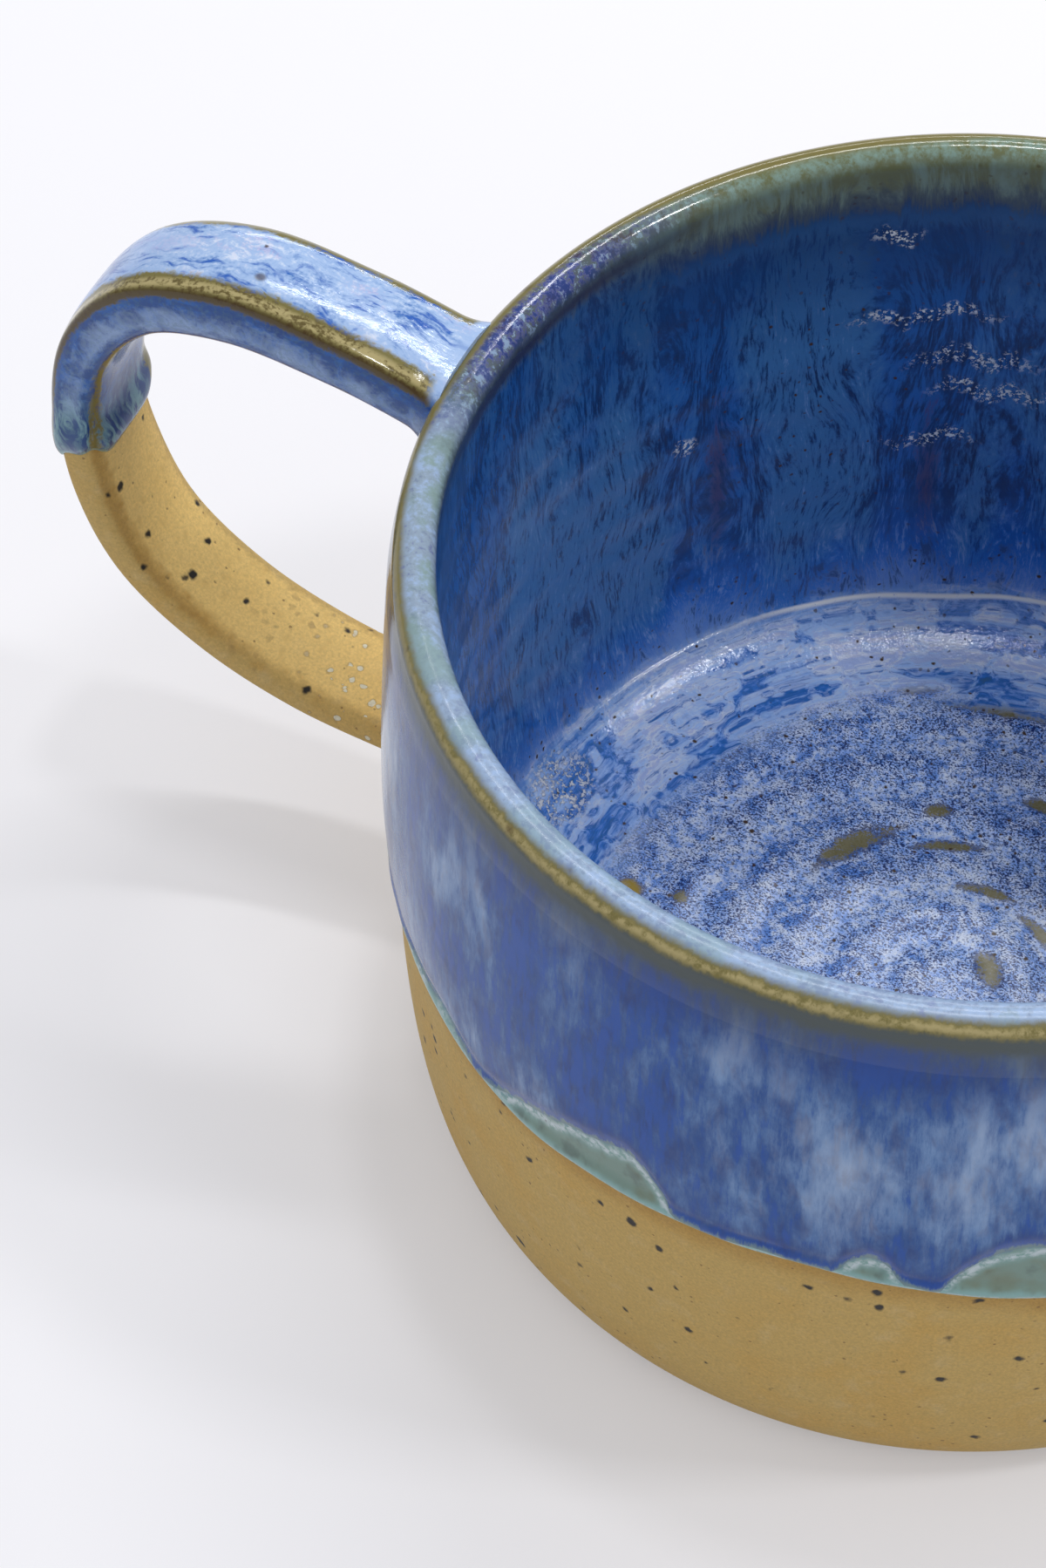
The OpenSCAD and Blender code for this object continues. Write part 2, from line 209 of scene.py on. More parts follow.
@named
class MugStage(bpy.types.PropertyGroup):
    """The floor, the lamps and the camera."""

    cloth: colour("The plain pale floor", (0.92, 0.92, 0.965))
    evenness: share("How much of the floor's shade is taken away", 0.28)
    bounce: colour("The floor as the mug sees it", (0.62, 0.62, 0.65))
    sky_level: share("Level of the even light", 0.62)
    sky_gloss: share("Level of the sky that the glaze mirrors", 0.3)
    lamp_level: share("Level of all the lamps", 0.9)
    lens: bpy.props.FloatProperty(description="Focal length", default=100.71, unit="CAMERA")
    eye: bpy.props.FloatVectorProperty(
        description="The camera's place", size=3, subtype="TRANSLATION",
        default=(0.081536, -0.239825, 0.356873),
    )
    look: bpy.props.FloatVectorProperty(
        description="The camera's turn", size=3, subtype="EULER",
        default=(math.radians(38.189), math.radians(1.241), math.radians(26.535)),
    )


class MugSettings(bpy.types.PropertyGroup):
    """All that a potter would change."""

    bowl: bpy.props.PointerProperty(type=MugBowl)
    strap: bpy.props.PointerProperty(type=MugStrap)
    glaze: bpy.props.PointerProperty(type=MugGlaze)
    clay_colours: bpy.props.PointerProperty(type=MugClayColours)
    glaze_colours: bpy.props.PointerProperty(type=MugGlazeColours)
    stage: bpy.props.PointerProperty(type=MugStage)


# ---------------------------------------------------------------- curves of the mug


def mix(a, b, t):
    return a + (b - a) * t


def clamp(x, low=0.0, high=1.0):
    return np.clip(x, low, high)


def soften(t):
    return t * t * (3 - 2 * t)


class Bowl:
    """The thrown wall and floor, as radius against height."""

    def __init__(self, s):
        self.s = s
        self.lip_z = s.height - s.lip / 2
        self.lip_mid = s.rim_radius - s.lip / 2
        self.cove_top = s.floor + s.cove_height
        self.floor_radius = float(self.inner_r(self.cove_top)) - s.cove_width

    def wall_r(self, z):
        """Outer radius of the clay."""
        s = self.s
        z = np.asarray(z, float)
        low = 1 - np.power(np.abs(1 - z / s.belly_height), s.foot_power)
        low = np.power(clamp(low), 1 / s.foot_power)
        low = s.foot_radius + (s.belly_radius - s.foot_radius) * low
        up = clamp((z - s.belly_height) / (self.lip_z - s.belly_height))
        high = s.belly_radius - (s.belly_radius - s.rim_radius) * np.power(up, s.draw_power)
        return np.where(z < s.belly_height, low, high)

    def inner_r(self, z):
        """Inner radius of the clay."""
        s = self.s
        up = clamp((np.asarray(z, float) - s.belly_height) / (self.lip_z - s.belly_height))
        return self.wall_r(z) - mix(s.wall, s.lip, soften(up))

    def ridges(self, r, az):
        """Drop of the floor between the throwing ridges, which wind out as a spiral."""
        s = self.s
        fade = soften(clamp((self.floor_radius - r) / s.ridge_pitch))
        fade = fade * soften(clamp(r / (0.7 * s.ridge_pitch)))
        phase = r / s.ridge_pitch - az / (2 * math.pi)
        return s.ridge_height / 2 * (1 - np.cos(2 * math.pi * phase)) * fade

    def floor_line(self, steps):
        return [(self.floor_radius * i / steps, self.s.floor) for i in range(steps + 1)]

    def cove_line(self, steps):
        s = self.s
        wide, high = s.cove_width, s.cove_height
        return [
            (self.floor_radius + wide * math.sin(a), self.cove_top - high * math.cos(a))
            for a in (math.pi / 2 * i / steps for i in range(1, steps + 1))
        ]

    def inner_line(self, low, high, steps):
        return [(float(self.inner_r(z)), z) for z in np.linspace(low, high, steps + 1)[1:]]

    def lip_line(self, steps):
        s = self.s
        return [
            (self.lip_mid + s.lip / 2 * math.cos(a), self.lip_z + s.lip / 2 * math.sin(a))
            for a in np.linspace(math.pi, 0, steps + 1)
        ]

    def outer_line(self, high, low, steps):
        return [(float(self.wall_r(z)), z) for z in np.linspace(high, low, steps + 1)[1:]]


# Centre line of the strap: shares of reach, height, thickness and width
STRAP_SHARES = (
    (-0.06, 0.922, 0.93, 0.90),
    (0.10, 0.959, 0.94, 0.88),
    (0.286, 0.987, 0.98, 0.87),
    (0.543, 1, 1, 0.87),
    (0.782, 0.939, 0.85, 0.87),
    (0.941, 0.79, 0.72, 0.88),
    (1, 0.604, 0.71, 0.92),
    (0.977, 0.413, 0.75, 0.98),
    (0.875, 0.237, 0.71, 1),
    (0.67, 0.11, 0.67, 1),
    (0.422, 0.037, 0.63, 1),
    (0.159, 0.008, 0.61, 0.98),
    (-0.06, 0, 0.61, 0.98),
)

# Arches of the blue edge: crown angle, spread to either side, share of the tallest
ARCH_SHARES = (
    (-155, 8, 12, 0.25),
    (-129, 9, 8, 0.20),
    (-101, 19, 6, 0.83),
    (-76, 3, 3, 0.42),
    (-61.5, 8, 15, 1),
    (-28, 13, 8, 0.55),
    (-9, 5, 8, 0.35),
    (22, 16, 9, 0.80),
    (58, 8, 18, 0.50),
    (94, 9, 6, 0.70),
    (121, 8, 15, 0.95),
    (158, 7, 11, 0.45),
)


class Strap:
    """The pulled strap: a squarish section swept along a smooth line."""

    def __init__(self, s, bowl):
        self.s, self.bowl = s, bowl
        out = bowl.s.belly_radius + s.reach
        span = bowl.s.height + s.rise - s.low
        rows = []
        for x, z, t, w in STRAP_SHARES:
            height = s.low + span * z
            reach = mix(float(bowl.wall_r(height)), out, x)
            rows.append((reach, height, s.thickness * t, s.width * w))
        rows = np.array(rows)
        self.last = len(rows) - 1
        self.padded = np.vstack([2 * rows[0] - rows[1], rows, 2 * rows[-1] - rows[-2]])
        self.run_u = np.linspace(0, self.last, 600)
        step = np.diff(self.at(self.run_u)[:, :2], axis=0)
        self.run = np.concatenate([[0], np.cumsum(np.hypot(step[:, 0], step[:, 1]))])

    def at(self, u):
        """Reach, height, thickness and width at place u, smooth through the rows."""
        i = np.clip(np.floor(u).astype(int), 0, self.last - 1)
        t = (u - i)[:, None]
        a, b, c, d = (self.padded[i + k] for k in range(4))
        square, cube = 2 * a - 5 * b + 4 * c - d, 3 * b - a - 3 * c + d
        return (2 * b + (c - a) * t + square * t**2 + cube * t**3) / 2

    def normal(self, u):
        d = (self.at(u + 0.05) - self.at(u - 0.05))[:, :2]
        return np.stack([-d[:, 1], d[:, 0]], 1) / np.hypot(d[:, 0], d[:, 1])[:, None]

    def rounded(self, x):
        return np.sign(x) * np.abs(x) ** (2 / self.s.section_power)

    def point(self, u, a, grow):
        """A point of the surface at place u and angle a, raised by grow."""
        c, n = self.at(u), self.normal(u)
        h = (c[:, 2] / 2 + grow) * self.rounded(np.sin(a))
        w = (c[:, 3] / 2 + grow) * self.rounded(np.cos(a))
        return np.stack([-c[:, 0] - n[:, 0] * h, w, c[:, 1] + n[:, 1] * h], 1)

    def off_wall(self, p):
        """Distance of a point from the clay wall."""
        return np.hypot(p[:, 0], p[:, 1]) - self.bowl.wall_r(p[:, 2])

    def at_wall(self, a, low_end, grow=0.0):
        """The place u at which the surface meets the wall, at either end."""
        inside = np.full(len(a), float(self.last if low_end else 0))
        outside = np.full(len(a), self.last - 1.5 if low_end else 1.5)
        for _ in range(40):
            middle = (inside + outside) / 2
            buried = self.off_wall(self.point(middle, a, np.full(len(a), grow))) < 0
            inside = np.where(buried, middle, inside)
            outside = np.where(buried, outside, middle)
        return outside

    def along(self, u):
        """Distance along the centre line."""
        return np.interp(u, self.run_u, self.run)

    def bead(self, u, a):
        """The ridge on the near upper edge, which runs out on the bend."""
        turned = np.degrees(np.abs((a - math.radians(141) + math.pi) % (2 * math.pi) - math.pi))
        over = soften(clamp((u - 0.5) / 0.7)) * soften(clamp((6.3 - u) / 2.2))
        return self.s.edge_bead * np.exp(-((turned / 13) ** 2)) * over

    def fillet(self, u, a, thick, run):
        off = self.off_wall(self.point(u, a, np.zeros(len(u))))
        return thick * clamp(1 - off / run) ** 2

    def upper_fillet(self, u, a):
        thick = self.s.upper_slip * mix(1, 0.3, clamp(np.sin(a)))
        return self.fillet(u, a, thick, self.s.upper_slip_run)


# Crests of the green coat's lower edge round the mug
EDGE_CRESTS = 5
# Share of the strap's edge bead that is clay, the rest being glaze
CLAY_BEAD = 0.6


def base_edge(g, az):
    """Height of the green coat's lower edge."""
    wobble = 0.10 * MM * np.sin(17 * az + 0.6) + 0.07 * MM * np.sin(31 * az + 2.1)
    return g.edge_height + g.edge_wave * np.cos(EDGE_CRESTS * (az - g.edge_turn)) + wobble


def blue_edge(g, az):
    """Height of the blue coat's lower edge."""
    deg = np.degrees(az)
    best = np.zeros_like(deg)
    for crown, left, right, tall in ARCH_SHARES:
        d = (deg - crown + 900) % 360 - 180
        spread = np.where(d < 0, left, right)
        t = np.abs(d) / spread
        power = np.where(spread == min(left, right), 2.0, 1.3)
        arch = tall * (1 - np.power(np.minimum(t, 1), power))
        best = np.maximum(best, np.where(t < 1, arch, 0))
    wobble = 0.16 * MM * np.sin(29 * az + 1.3) + 0.10 * MM * np.sin(53 * az)
    return base_edge(g, az) + g.blue_lap + g.arch_height * best + wobble


# ---------------------------------------------------------------- shaping by hand


def draw_section(name, points):
    """Draws a section in the XZ plane, point after point, and leaves it in edit mode."""
    bpy.ops.object.select_all(action="DESELECT")
    bpy.ops.mesh.primitive_plane_add(size=10 * MM)
    piece = bpy.context.object
    piece.name = piece.data.name = name
    bpy.ops.object.mode_set(mode="EDIT")
    bpy.ops.mesh.select_mode(type="VERT")
    bpy.ops.mesh.select_all(action="SELECT")
    bpy.ops.mesh.merge(type="CENTER")
    bpy.ops.transform.translate(value=(points[0][0], 0, points[0][1]))
    for a, b in zip(points, points[1:]):
        bpy.ops.mesh.extrude_region_move(
            TRANSFORM_OT_translate={"value": (b[0] - a[0], 0, b[1] - a[1])}
        )
    return piece


def throw(piece, steps):
    """Spins the drawn section round the mug's axis and closes its seam and poles."""
    bpy.ops.mesh.select_all(action="SELECT")
    bpy.ops.mesh.spin(steps=steps, angle=2 * math.pi, center=(0, 0, 0), axis=(0, 0, 1))
    bpy.ops.mesh.select_all(action="SELECT")
    bpy.ops.mesh.remove_doubles(threshold=1e-6)
    bpy.ops.mesh.normals_make_consistent(inside=False)
    bpy.ops.object.mode_set(mode="OBJECT")
    return piece


# Radius of a pipe's hole, where the pipe's own radius is 1
PIPE_HOLE = 0.5


def draw_out(name, sides, cuts, hollow):
    """A round bar of length 1 and radius 1 with rings of edges, or a pipe with a wall."""
    bpy.ops.object.select_all(action="DESELECT")
    fill = "NOTHING" if hollow else "NGON"
    bpy.ops.mesh.primitive_cylinder_add(vertices=sides, radius=1, depth=1, end_fill_type=fill)
    piece = bpy.context.object
    piece.name = piece.data.name = name
    mesh = piece.data
    bpy.ops.object.mode_set(mode="EDIT")
    bpy.ops.mesh.select_mode(type="EDGE")
    bpy.ops.mesh.select_all(action="DESELECT")
    bpy.ops.object.mode_set(mode="OBJECT")
    for e in mesh.edges:
        a, b = (mesh.vertices[v].co for v in e.vertices)
        e.select = abs(a.z - b.z) > 0.5
    bpy.ops.object.mode_set(mode="EDIT")
    bpy.ops.mesh.subdivide(number_cuts=cuts)
    if hollow:
        bpy.ops.mesh.select_all(action="SELECT")
        bpy.ops.mesh.duplicate()
        bpy.ops.transform.resize(value=(PIPE_HOLE, PIPE_HOLE, 1), center_override=(0, 0, 0))
        bpy.ops.mesh.select_mode(type="VERT")
        for end in (-0.5, 0.5):
            bpy.ops.mesh.select_all(action="DESELECT")
            bpy.ops.object.mode_set(mode="OBJECT")
            for v in mesh.vertices:
                v.select = abs(v.co.z - end) < 1e-4
            bpy.ops.object.mode_set(mode="EDIT")
            bpy.ops.mesh.select_mode(type="EDGE")
            bpy.ops.mesh.bridge_edge_loops()
            bpy.ops.mesh.select_mode(type="VERT")
    bpy.ops.object.mode_set(mode="OBJECT")
    return piece


def places(piece):
    co = np.empty(len(piece.data.vertices) * 3, np.float32)
    piece.data.vertices.foreach_get("co", co)
    return co.reshape(-1, 3).astype(float)


def polar(co):
    """Radius and angle of points about the mug's axis."""
    return np.hypot(co[:, 0], co[:, 1]), np.arctan2(co[:, 1], co[:, 0])


def bar_places(piece):
    """Angle and share of the length of a bar's vertices, and whether they are on its outside."""
    co = places(piece)
    r, a = polar(co)
    return a, co[:, 2] + 0.5, r > (1 + PIPE_HOLE) / 2


def square_to(line, start, end):
    """Unit vectors square to a section's line, which starts and ends in given directions."""
    d = np.gradient(line, axis=0)
    d /= np.hypot(d[:, 0], d[:, 1])[:, None]
    d[0], d[-1] = start, end
    return np.stack([-d[:, 1], d[:, 0]], 1)


def press(piece, co):
    """Presses every vertex to its new place."""
    piece.data.vertices.foreach_set("co", np.ascontiguousarray(co, np.float32).ravel())
    piece.data.update()


def note(piece, **numbers):
    """Keeps named numbers on every vertex, which the finishes read."""
    for name, values in numbers.items():
        kept = piece.data.attributes.new(name, "FLOAT", "POINT")
        kept.data.foreach_set("value", np.asarray(values, np.float32))


def outward(piece):
    """Turns every face to the outside."""
    bpy.ops.object.select_all(action="DESELECT")
    piece.select_set(True)
    bpy.context.view_layer.objects.active = piece
    bpy.ops.object.mode_set(mode="EDIT")
    bpy.ops.mesh.select_all(action="SELECT")
    bpy.ops.mesh.normals_make_consistent(inside=False)
    bpy.ops.object.mode_set(mode="OBJECT")


def finish_piece(piece, node, material, crease):
    """Smooths a piece, gives it its finish and seats it in the frame."""
    outward(piece)
    bpy.ops.object.shade_smooth_by_angle(angle=math.radians(crease))
    piece.data.materials.clear()
    piece.data.materials.append(material)
    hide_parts(node)
    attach(piece, "root")


def settings():
    return bpy.context.scene.stoneware_mug


# ---------------------------------------------------------------- finishes


class Wire:
    """A value in a finish. Arithmetic on wires adds Math nodes."""

    def __init__(self, nodes, socket):
        self.nodes, self.socket = nodes, socket

    def math(self, operation, a, b=0.0):
        return self.nodes.node("ShaderNodeMath", {"operation": operation}, {0: a, 1: b})

    def __add__(self, other):
        return self.math("ADD", self, other)

    __radd__ = __add__

    def __sub__(self, other):
        return self.math("SUBTRACT", self, other)

    def __rsub__(self, other):
        return self.math("SUBTRACT", other, self)

    def __mul__(self, other):
        return self.math("MULTIPLY", self, other)

    def __truediv__(self, other):
        return self.math("DIVIDE", self, other)

    def __pow__(self, other):
        return self.math("POWER", self, other)

    def __abs__(self):
        return self.math("ABSOLUTE", self)

    def cos(self):
        return self.math("COSINE", self)

    def larger(self, other):
        return self.math("MAXIMUM", self, other)

    def smaller(self, other):
        return self.math("MINIMUM", self, other)

    def sway(self, size):
        """A noise turned into a swing to either side of 0."""
        return (self - 0.5) * size

    def fade(self, low, high):
        """0 at low, 1 at high, with a soft start and end. High may be the smaller one."""
        return self.nodes.node(
            "ShaderNodeMapRange",
            {"interpolation_type": "SMOOTHSTEP"},
            {"Value": self, "From Min": low, "From Max": high, "To Min": 0.0, "To Max": 1.0},
        )

    def band(self, low, high, soft):
        """1 between low and high, and 0 outside."""
        return self.fade(low - soft, low + soft) * self.fade(high + soft, high - soft)


class Nodes:
    """The nodes of a material or of the world."""

    def __init__(self, owner):
        owner.use_nodes = True
        self.owner, self.tree = owner, owner.node_tree
        self.tree.nodes.clear()

    def node(self, kind, choices=None, inputs=None, output=0):
        """Adds a node, sets it, feeds it, and gives one of its outputs."""
        made = self.tree.nodes.new(kind)
        for key, value in (choices or {}).items():
            setattr(made, key, value)
        for key, value in (inputs or {}).items():
            socket = made.inputs[key]
            if isinstance(value, Wire):
                self.tree.links.new(value.socket, socket)
            elif hasattr(value, "__len__") and len(socket.default_value) == 4:
                socket.default_value = (*value[:3], 1)
            else:
                socket.default_value = value
        return None if output is None else Wire(self, made.outputs[output])

    def mix(self, a, b, factor):
        """Colour a turning into colour b."""
        return self.node("ShaderNodeMix", {"data_type": "RGBA"}, {0: factor, 6: a, 7: b}, 2)

    def over(self, base, *layers):
        """A base colour with others laid over it, each by its own factor."""
        for colour, factor in layers:
            base = self.mix(base, colour, factor)
        return base

    def seen(self):
        """1 on rays from the camera and on those that gloss or glass sends on."""
        ray = self.node("ShaderNodeLightPath", {}, {}, "Is Camera Ray")
        for kind in ("Is Glossy Ray", "Is Transmission Ray"):
            ray = ray.larger(self.node("ShaderNodeLightPath", {}, {}, kind))
        return ray


class Finish(Nodes):
    """A material that knows where on the mug each of its points lies, in millimetres."""

    def __init__(self, name):
        super().__init__(bpy.data.materials.new(name))
        self.place = self.shade(self.node("ShaderNodeTexCoord", output="Object"), 1.0 / MM)
        self.x, self.y, self.z = (
            self.node("ShaderNodeSeparateXYZ", {}, {0: self.place}, k) for k in range(3)
        )
        self.r = ((self.x * self.x + self.y * self.y) ** 0.5).larger(0.001)

    def angle(self):
        """Angle round the mug's axis."""
        return self.x.math("ARCTAN2", self.y, self.x)

    def toward(self, degrees):
        """1 on the side of the mug at that angle, and -1 on the other."""
        a = math.radians(degrees)
        return (self.x * math.cos(a) + self.y * math.sin(a)) / self.r

    def vector_math(self, operation, a, b):
        return self.node("ShaderNodeVectorMath", {"operation": operation}, {0: a, 1: b})

    def near(self, place, size, where=None):
        """0 at a place, and 1 on the egg of that half size round it, in millimetres."""
        away = self.vector_math("SUBTRACT", where or self.place, place)
        away = self.vector_math("DIVIDE", away, size)
        return self.node("ShaderNodeVectorMath", {"operation": "LENGTH"}, {0: away}, "Value")

    def shade(self, colour, amount):
        """Scales a colour or a place by a wire or a number."""
        inputs = {0: colour, "Scale": amount}
        return self.node("ShaderNodeVectorMath", {"operation": "SCALE"}, inputs)

    def squat(self, share):
        """The place with its height squeezed, so that noise there is drawn out downwards."""
        return self.vector_math("MULTIPLY", self.place, (1, 1, share))

    def vector(self, x, y, z):
        return self.node("ShaderNodeCombineXYZ", {}, {0: x, 1: y, 2: z})

    def noise(self, where, size, detail=3.0, rough=0.55, swirl=0.0):
        """Soft noise with lumps of about that size in millimetres."""
        inputs = {"Detail": detail, "Roughness": rough, "Distortion": swirl}
        return self.node("ShaderNodeTexNoise", {}, {"Vector": where, "Scale": 1.0 / size, **inputs})

    def lumps(self, *kind):
        """The same noise at the place itself."""
        return self.noise(self.place, *kind)

    def specks(self, where, cell, radius, amount, soft=0.5):
        """Scattered specks: one cell in amount has one, of up to that radius in millimetres."""
        inputs = {"Vector": where, "Scale": 0.5 / radius, "Detail": 2.0}
        shift = self.shade(self.node("ShaderNodeTexNoise", {}, inputs, "Color"), radius * 1.6)
        where = self.vector_math("ADD", where, shift)
        inputs = {"Vector": where, "Scale": 1.0 / cell, "Randomness": 1.0}
        distance = self.node("ShaderNodeTexVoronoi", {}, inputs, "Distance")
        lot = self.node("ShaderNodeTexVoronoi", {}, inputs, "Color")
        lot = self.node("ShaderNodeSeparateColor", {}, {0: lot}, 0)
        reach = ((lot - (1 - amount)) * (1 / amount)).larger(0.0) ** 0.5 * (radius / cell)
        return (reach - distance).fade(-soft * radius / cell * 0.2, soft * radius / cell)

    def note(self, name):
        """A number that the piece keeps on its vertices."""
        return self.node("ShaderNodeAttribute", {"attribute_name": name}, {}, "Fac")

    def bump(self, height, depth):
        """Raises the surface by a height of up to that depth in millimetres."""
        inputs = {"Height": height, "Distance": depth * MM, "Strength": 1.0}
        return self.node("ShaderNodeBump", {}, inputs)

    def done(self, base, rough, normal, **fixed):
        """Ends in one Principled shader."""
        inputs = {"Base Color": base, "Roughness": rough, "Normal": normal}
        inputs.update({key.replace("_", " "): value for key, value in fixed.items()})
        shader = self.node("ShaderNodeBsdfPrincipled", {}, inputs)
        self.node("ShaderNodeOutputMaterial", {}, {"Surface": shader}, None)
        return self.owner


# Bending of light in the clay's skin, in the liner and in the other glazes
CLAY_IOR = 1.5
LINER_IOR = 1.45
GLAZE_IOR = 1.42
# Strength of the outer coats' mirror
OUTER_MIRROR = 0.28

# Tongues of the inner wall: angle, cosine at which one starts, push to pale or dark
WALL_TONGUES = ((130, 0.985, 0.12), (163, 0.97, 0.10), (118, 0.992, -0.14), (146, 0.994, -0.10))

# Plum runs down the inner wall: middle and half size in millimetres
PLUM_RUNS = (((-39.3, 29.0, 31), (1.6, 1.3, 11)), ((-22.2, 43.4, 24), (1.5, 1.5, 11)))

# Breaks in the floor's glaze: radius, angle, half width and half length in millimetres
FLOOR_BREAKS = (
    (21.2, 115.5, 0.8, 1.5),
    (19.3, 143, 1.3, 4.6),
    (16.9, 113, 0.7, 3.6),
    (24.2, 90.5, 0.8, 1.9),
    (33.5, -174, 1.6, 1.6),
    (28.3, -176, 0.9, 0.9),
    (4.2, 46, 1.4, 2.2),
    (35.0, 103, 0.9, 6.0),
    (37.2, 118, 0.7, 2.2),
    (12.0, 95, 0.6, 3.0),
    (11.0, 60, 0.7, 2.4),
    (16.1, -30, 1.0, 2.4),
    (25.0, 28, 1.1, 3.2),
    (21.4, -101, 0.9, 3.4),
)

# Rows of craters, bumped and painted white as glints: middle and half size in millimetres, and
# whether the row meanders
CRATER_GLINT_ROWS = (
    ((-23, 42, 49.2), (8.5, 6, 1.0), 1),
    ((-26, 41, 60.3), (2.6, 2.6, 1.2), 1),
    ((-19, 45, 43.0), (7, 5, 1.5), 1),
    ((-17, 46, 38.5), (7, 5, 1.2), 1),
    ((-22, 43, 31.5), (5, 4, 1.0), 1),
    ((-41, 26, 38.0), (0.9, 3, 1.3), 1),
    ((-44.5, 4, 7.0), (3.5, 5, 4), 0),
)

# Clouds of the outer coat, and a painted reflection down its left side in the second row: middle
# and half size in millimetres, push to pale or dark
OUTER_CLOUDS_AND_SHEEN = (
    ((20, -50, 55), (17, 17, 9), 0.15),
    ((-50, -12, 48), (14, 22, 22), 0.50),
    ((-16, -50, 52), (20, 20, 12), -0.08),
    ((20, -50, 68), (30, 16, 5), -0.09),
    ((20, -50, 38), (30, 24, 6), -0.09),
)


def clay_finish(name, flush=None, bright=None):
    """Bare stoneware: tan, softly mottled, with iron specks, grains and a flush by the glaze, and
    painted light on the face that bright picks out.
    """
    c = settings().clay_colours
    f = Finish(name)
    base = f.over(
        c.ground,
        (c.warm, f.lumps(9, 3).fade(0.45, 0.75) * 0.55),
        (c.pale, f.lumps(2.6, 4, 0.6).fade(0.50, 0.78) * 0.4),
    )
    # Painted light: the upward face picked out by bright is made paler
    if bright:
        base = f.mix(base, c.bright, bright(f))
    if flush:
        base = f.mix(base, c.flush, flush(f))
    if bright:
        ash = f.specks(f.place, 1.3, 0.55, 0.85, 0.4) * f.x.fade(-82, -62)
        base = f.over(base, (c.grain, ash * 0.75), (c.ash, ash.fade(0.55, 0.9) * 0.9))
    grain = f.lumps(0.3, 3, 0.65)
    fine = f.specks(f.place, 0.95, 0.21, 0.5) * f.lumps(4, 2).fade(0.40, 0.56)
    spot = f.specks(f.place, 2.9, 0.64, 0.85 if bright else 0.62, 0.45)
    base = f.over(f.shade(base, 0.66 + grain * 0.68), (c.grain, fine * 0.85), (c.iron, spot))
    rough = 0.62 - spot * 0.1 + grain * 0.12
    lines = f.noise(f.vector(f.x * 0.05, f.y * 0.05, f.z), 0.7, 2)
    skin = f.lumps(0.5, 4, 0.65) * 0.8 + lines * 0.35 - spot * 0.3 - fine * 0.2
    return f.done(base, rough, f.bump(skin, 0.075), IOR=CLAY_IOR)


def under_edge(f):
    """The halo on the clay under the green coat's edge."""
    g = settings().glaze
    wave = ((f.angle() - g.edge_turn) * EDGE_CRESTS).cos()
    edge = wave * (g.edge_wave / MM) + g.edge_height / MM
    below = edge - f.z + f.lumps(3.2, 2).sway(2.4)
    return below.fade(4.0, 0.3) * f.z.fade(20, 24) * 0.7


def strap_flush(f):
    """Warm flush along the strap's near inner edge."""
    side, face = f.note("side"), f.note("face")
    patch = f.lumps(1.2, 3)
    line = (side * face * 2 + patch.sway(0.3)).fade(0.74, 1.0) * face.fade(0.1, -0.1)
    line = line * side.fade(0.0, -0.1) * (f.x.fade(-68, -84) * 0.45 + 0.12)
    return (line + patch.fade(0.55, 0.7) * 0.2).smaller(1.0)


def strap_painted_light(f):
    """Painted light: the strap's upward inner face, made paler than its sides."""
    return (f.note("face") + f.lumps(0.8, 3).sway(0.3)).fade(-0.66, -0.86) * 0.75


def wall_colour(f, c, hair, lock, stroke):
    """The inner wall: slate tongues over deep blue, drawn into fine hair, with plum runs and
    painted shade under the lip on the far side.
    """
    tongue = f.noise(f.squat(0.3), 12, 3, 0.5)
    for at, wide, push in WALL_TONGUES:
        tongue = tongue + f.toward(at).fade(wide, 1.0) * push
    wall = f.over(
        c.deep,
        (c.middle, (stroke + 0.5).fade(0.44, 0.57)),
        (c.slate, (tongue + stroke * 0.9).fade(0.40, 0.66) * 0.9),
        (c.pool, (hair * 0.7 + lock * 0.3).fade(0.56, 0.72) * tongue.fade(0.42, 0.6) * 0.35),
        (c.deep, (hair * 0.6 + lock * 0.4).fade(0.49, 0.39) * 0.9),
        (c.navy, (hair * 0.5 + lock * 0.5).fade(0.46, 0.37) * 0.6),
    )
    for place, size in PLUM_RUNS:
        run = (1.1 - f.near(place, size) + stroke * 6).fade(0.0, 0.9)
        wall = f.mix(wall, c.plum, run * 0.8)
    fringe = f.z + stroke * 24 + tongue.sway(20)
    low = fringe.fade(28, 14)
    back = f.toward(95).fade(0.35, 0.75)
    # Painted shade: the upper inner wall darkens under the lip, most on the far right side
    painted_shade_side = f.toward(85).fade(-0.1, 0.7) * 0.75 + 0.2
    edge = f.z + stroke * 9
    moss = f.mix(c.moss, c.celadon, lock.fade(0.35, 0.65) * 0.7)
    return f.over(
        wall,
        (c.bright, fringe.fade(23, 12) * 0.6),
        (c.pool, (fringe + hair.sway(10)).fade(15, 8) * 0.45),
        (c.sky, (hair * 0.6 + lock * 0.4).fade(0.52, 0.64) * low * 0.55),
        (c.deep, (hair * 0.5 + lock * 0.5).fade(0.48, 0.38) * low * 0.85),
        # Painted shade: deep and then navy darken the upper inner wall towards the lip
        (c.deep, (f.z + stroke * 14).fade(46, 58) * painted_shade_side * 0.6),
        (c.navy, (f.z + stroke * 30).fade(54, 66) * painted_shade_side * 0.6),
        (c.shadow, edge.fade(66.2, 69.0) * (1 - back) * 0.85),
        (c.slate, edge.band(61.8, 63.4, 1.6) * back * 0.35),
        (c.shadow, edge.fade(63.2, 65.4) * back * 0.8),
        (moss, edge.fade(65.0, 68.0) * back * 0.9),
    )


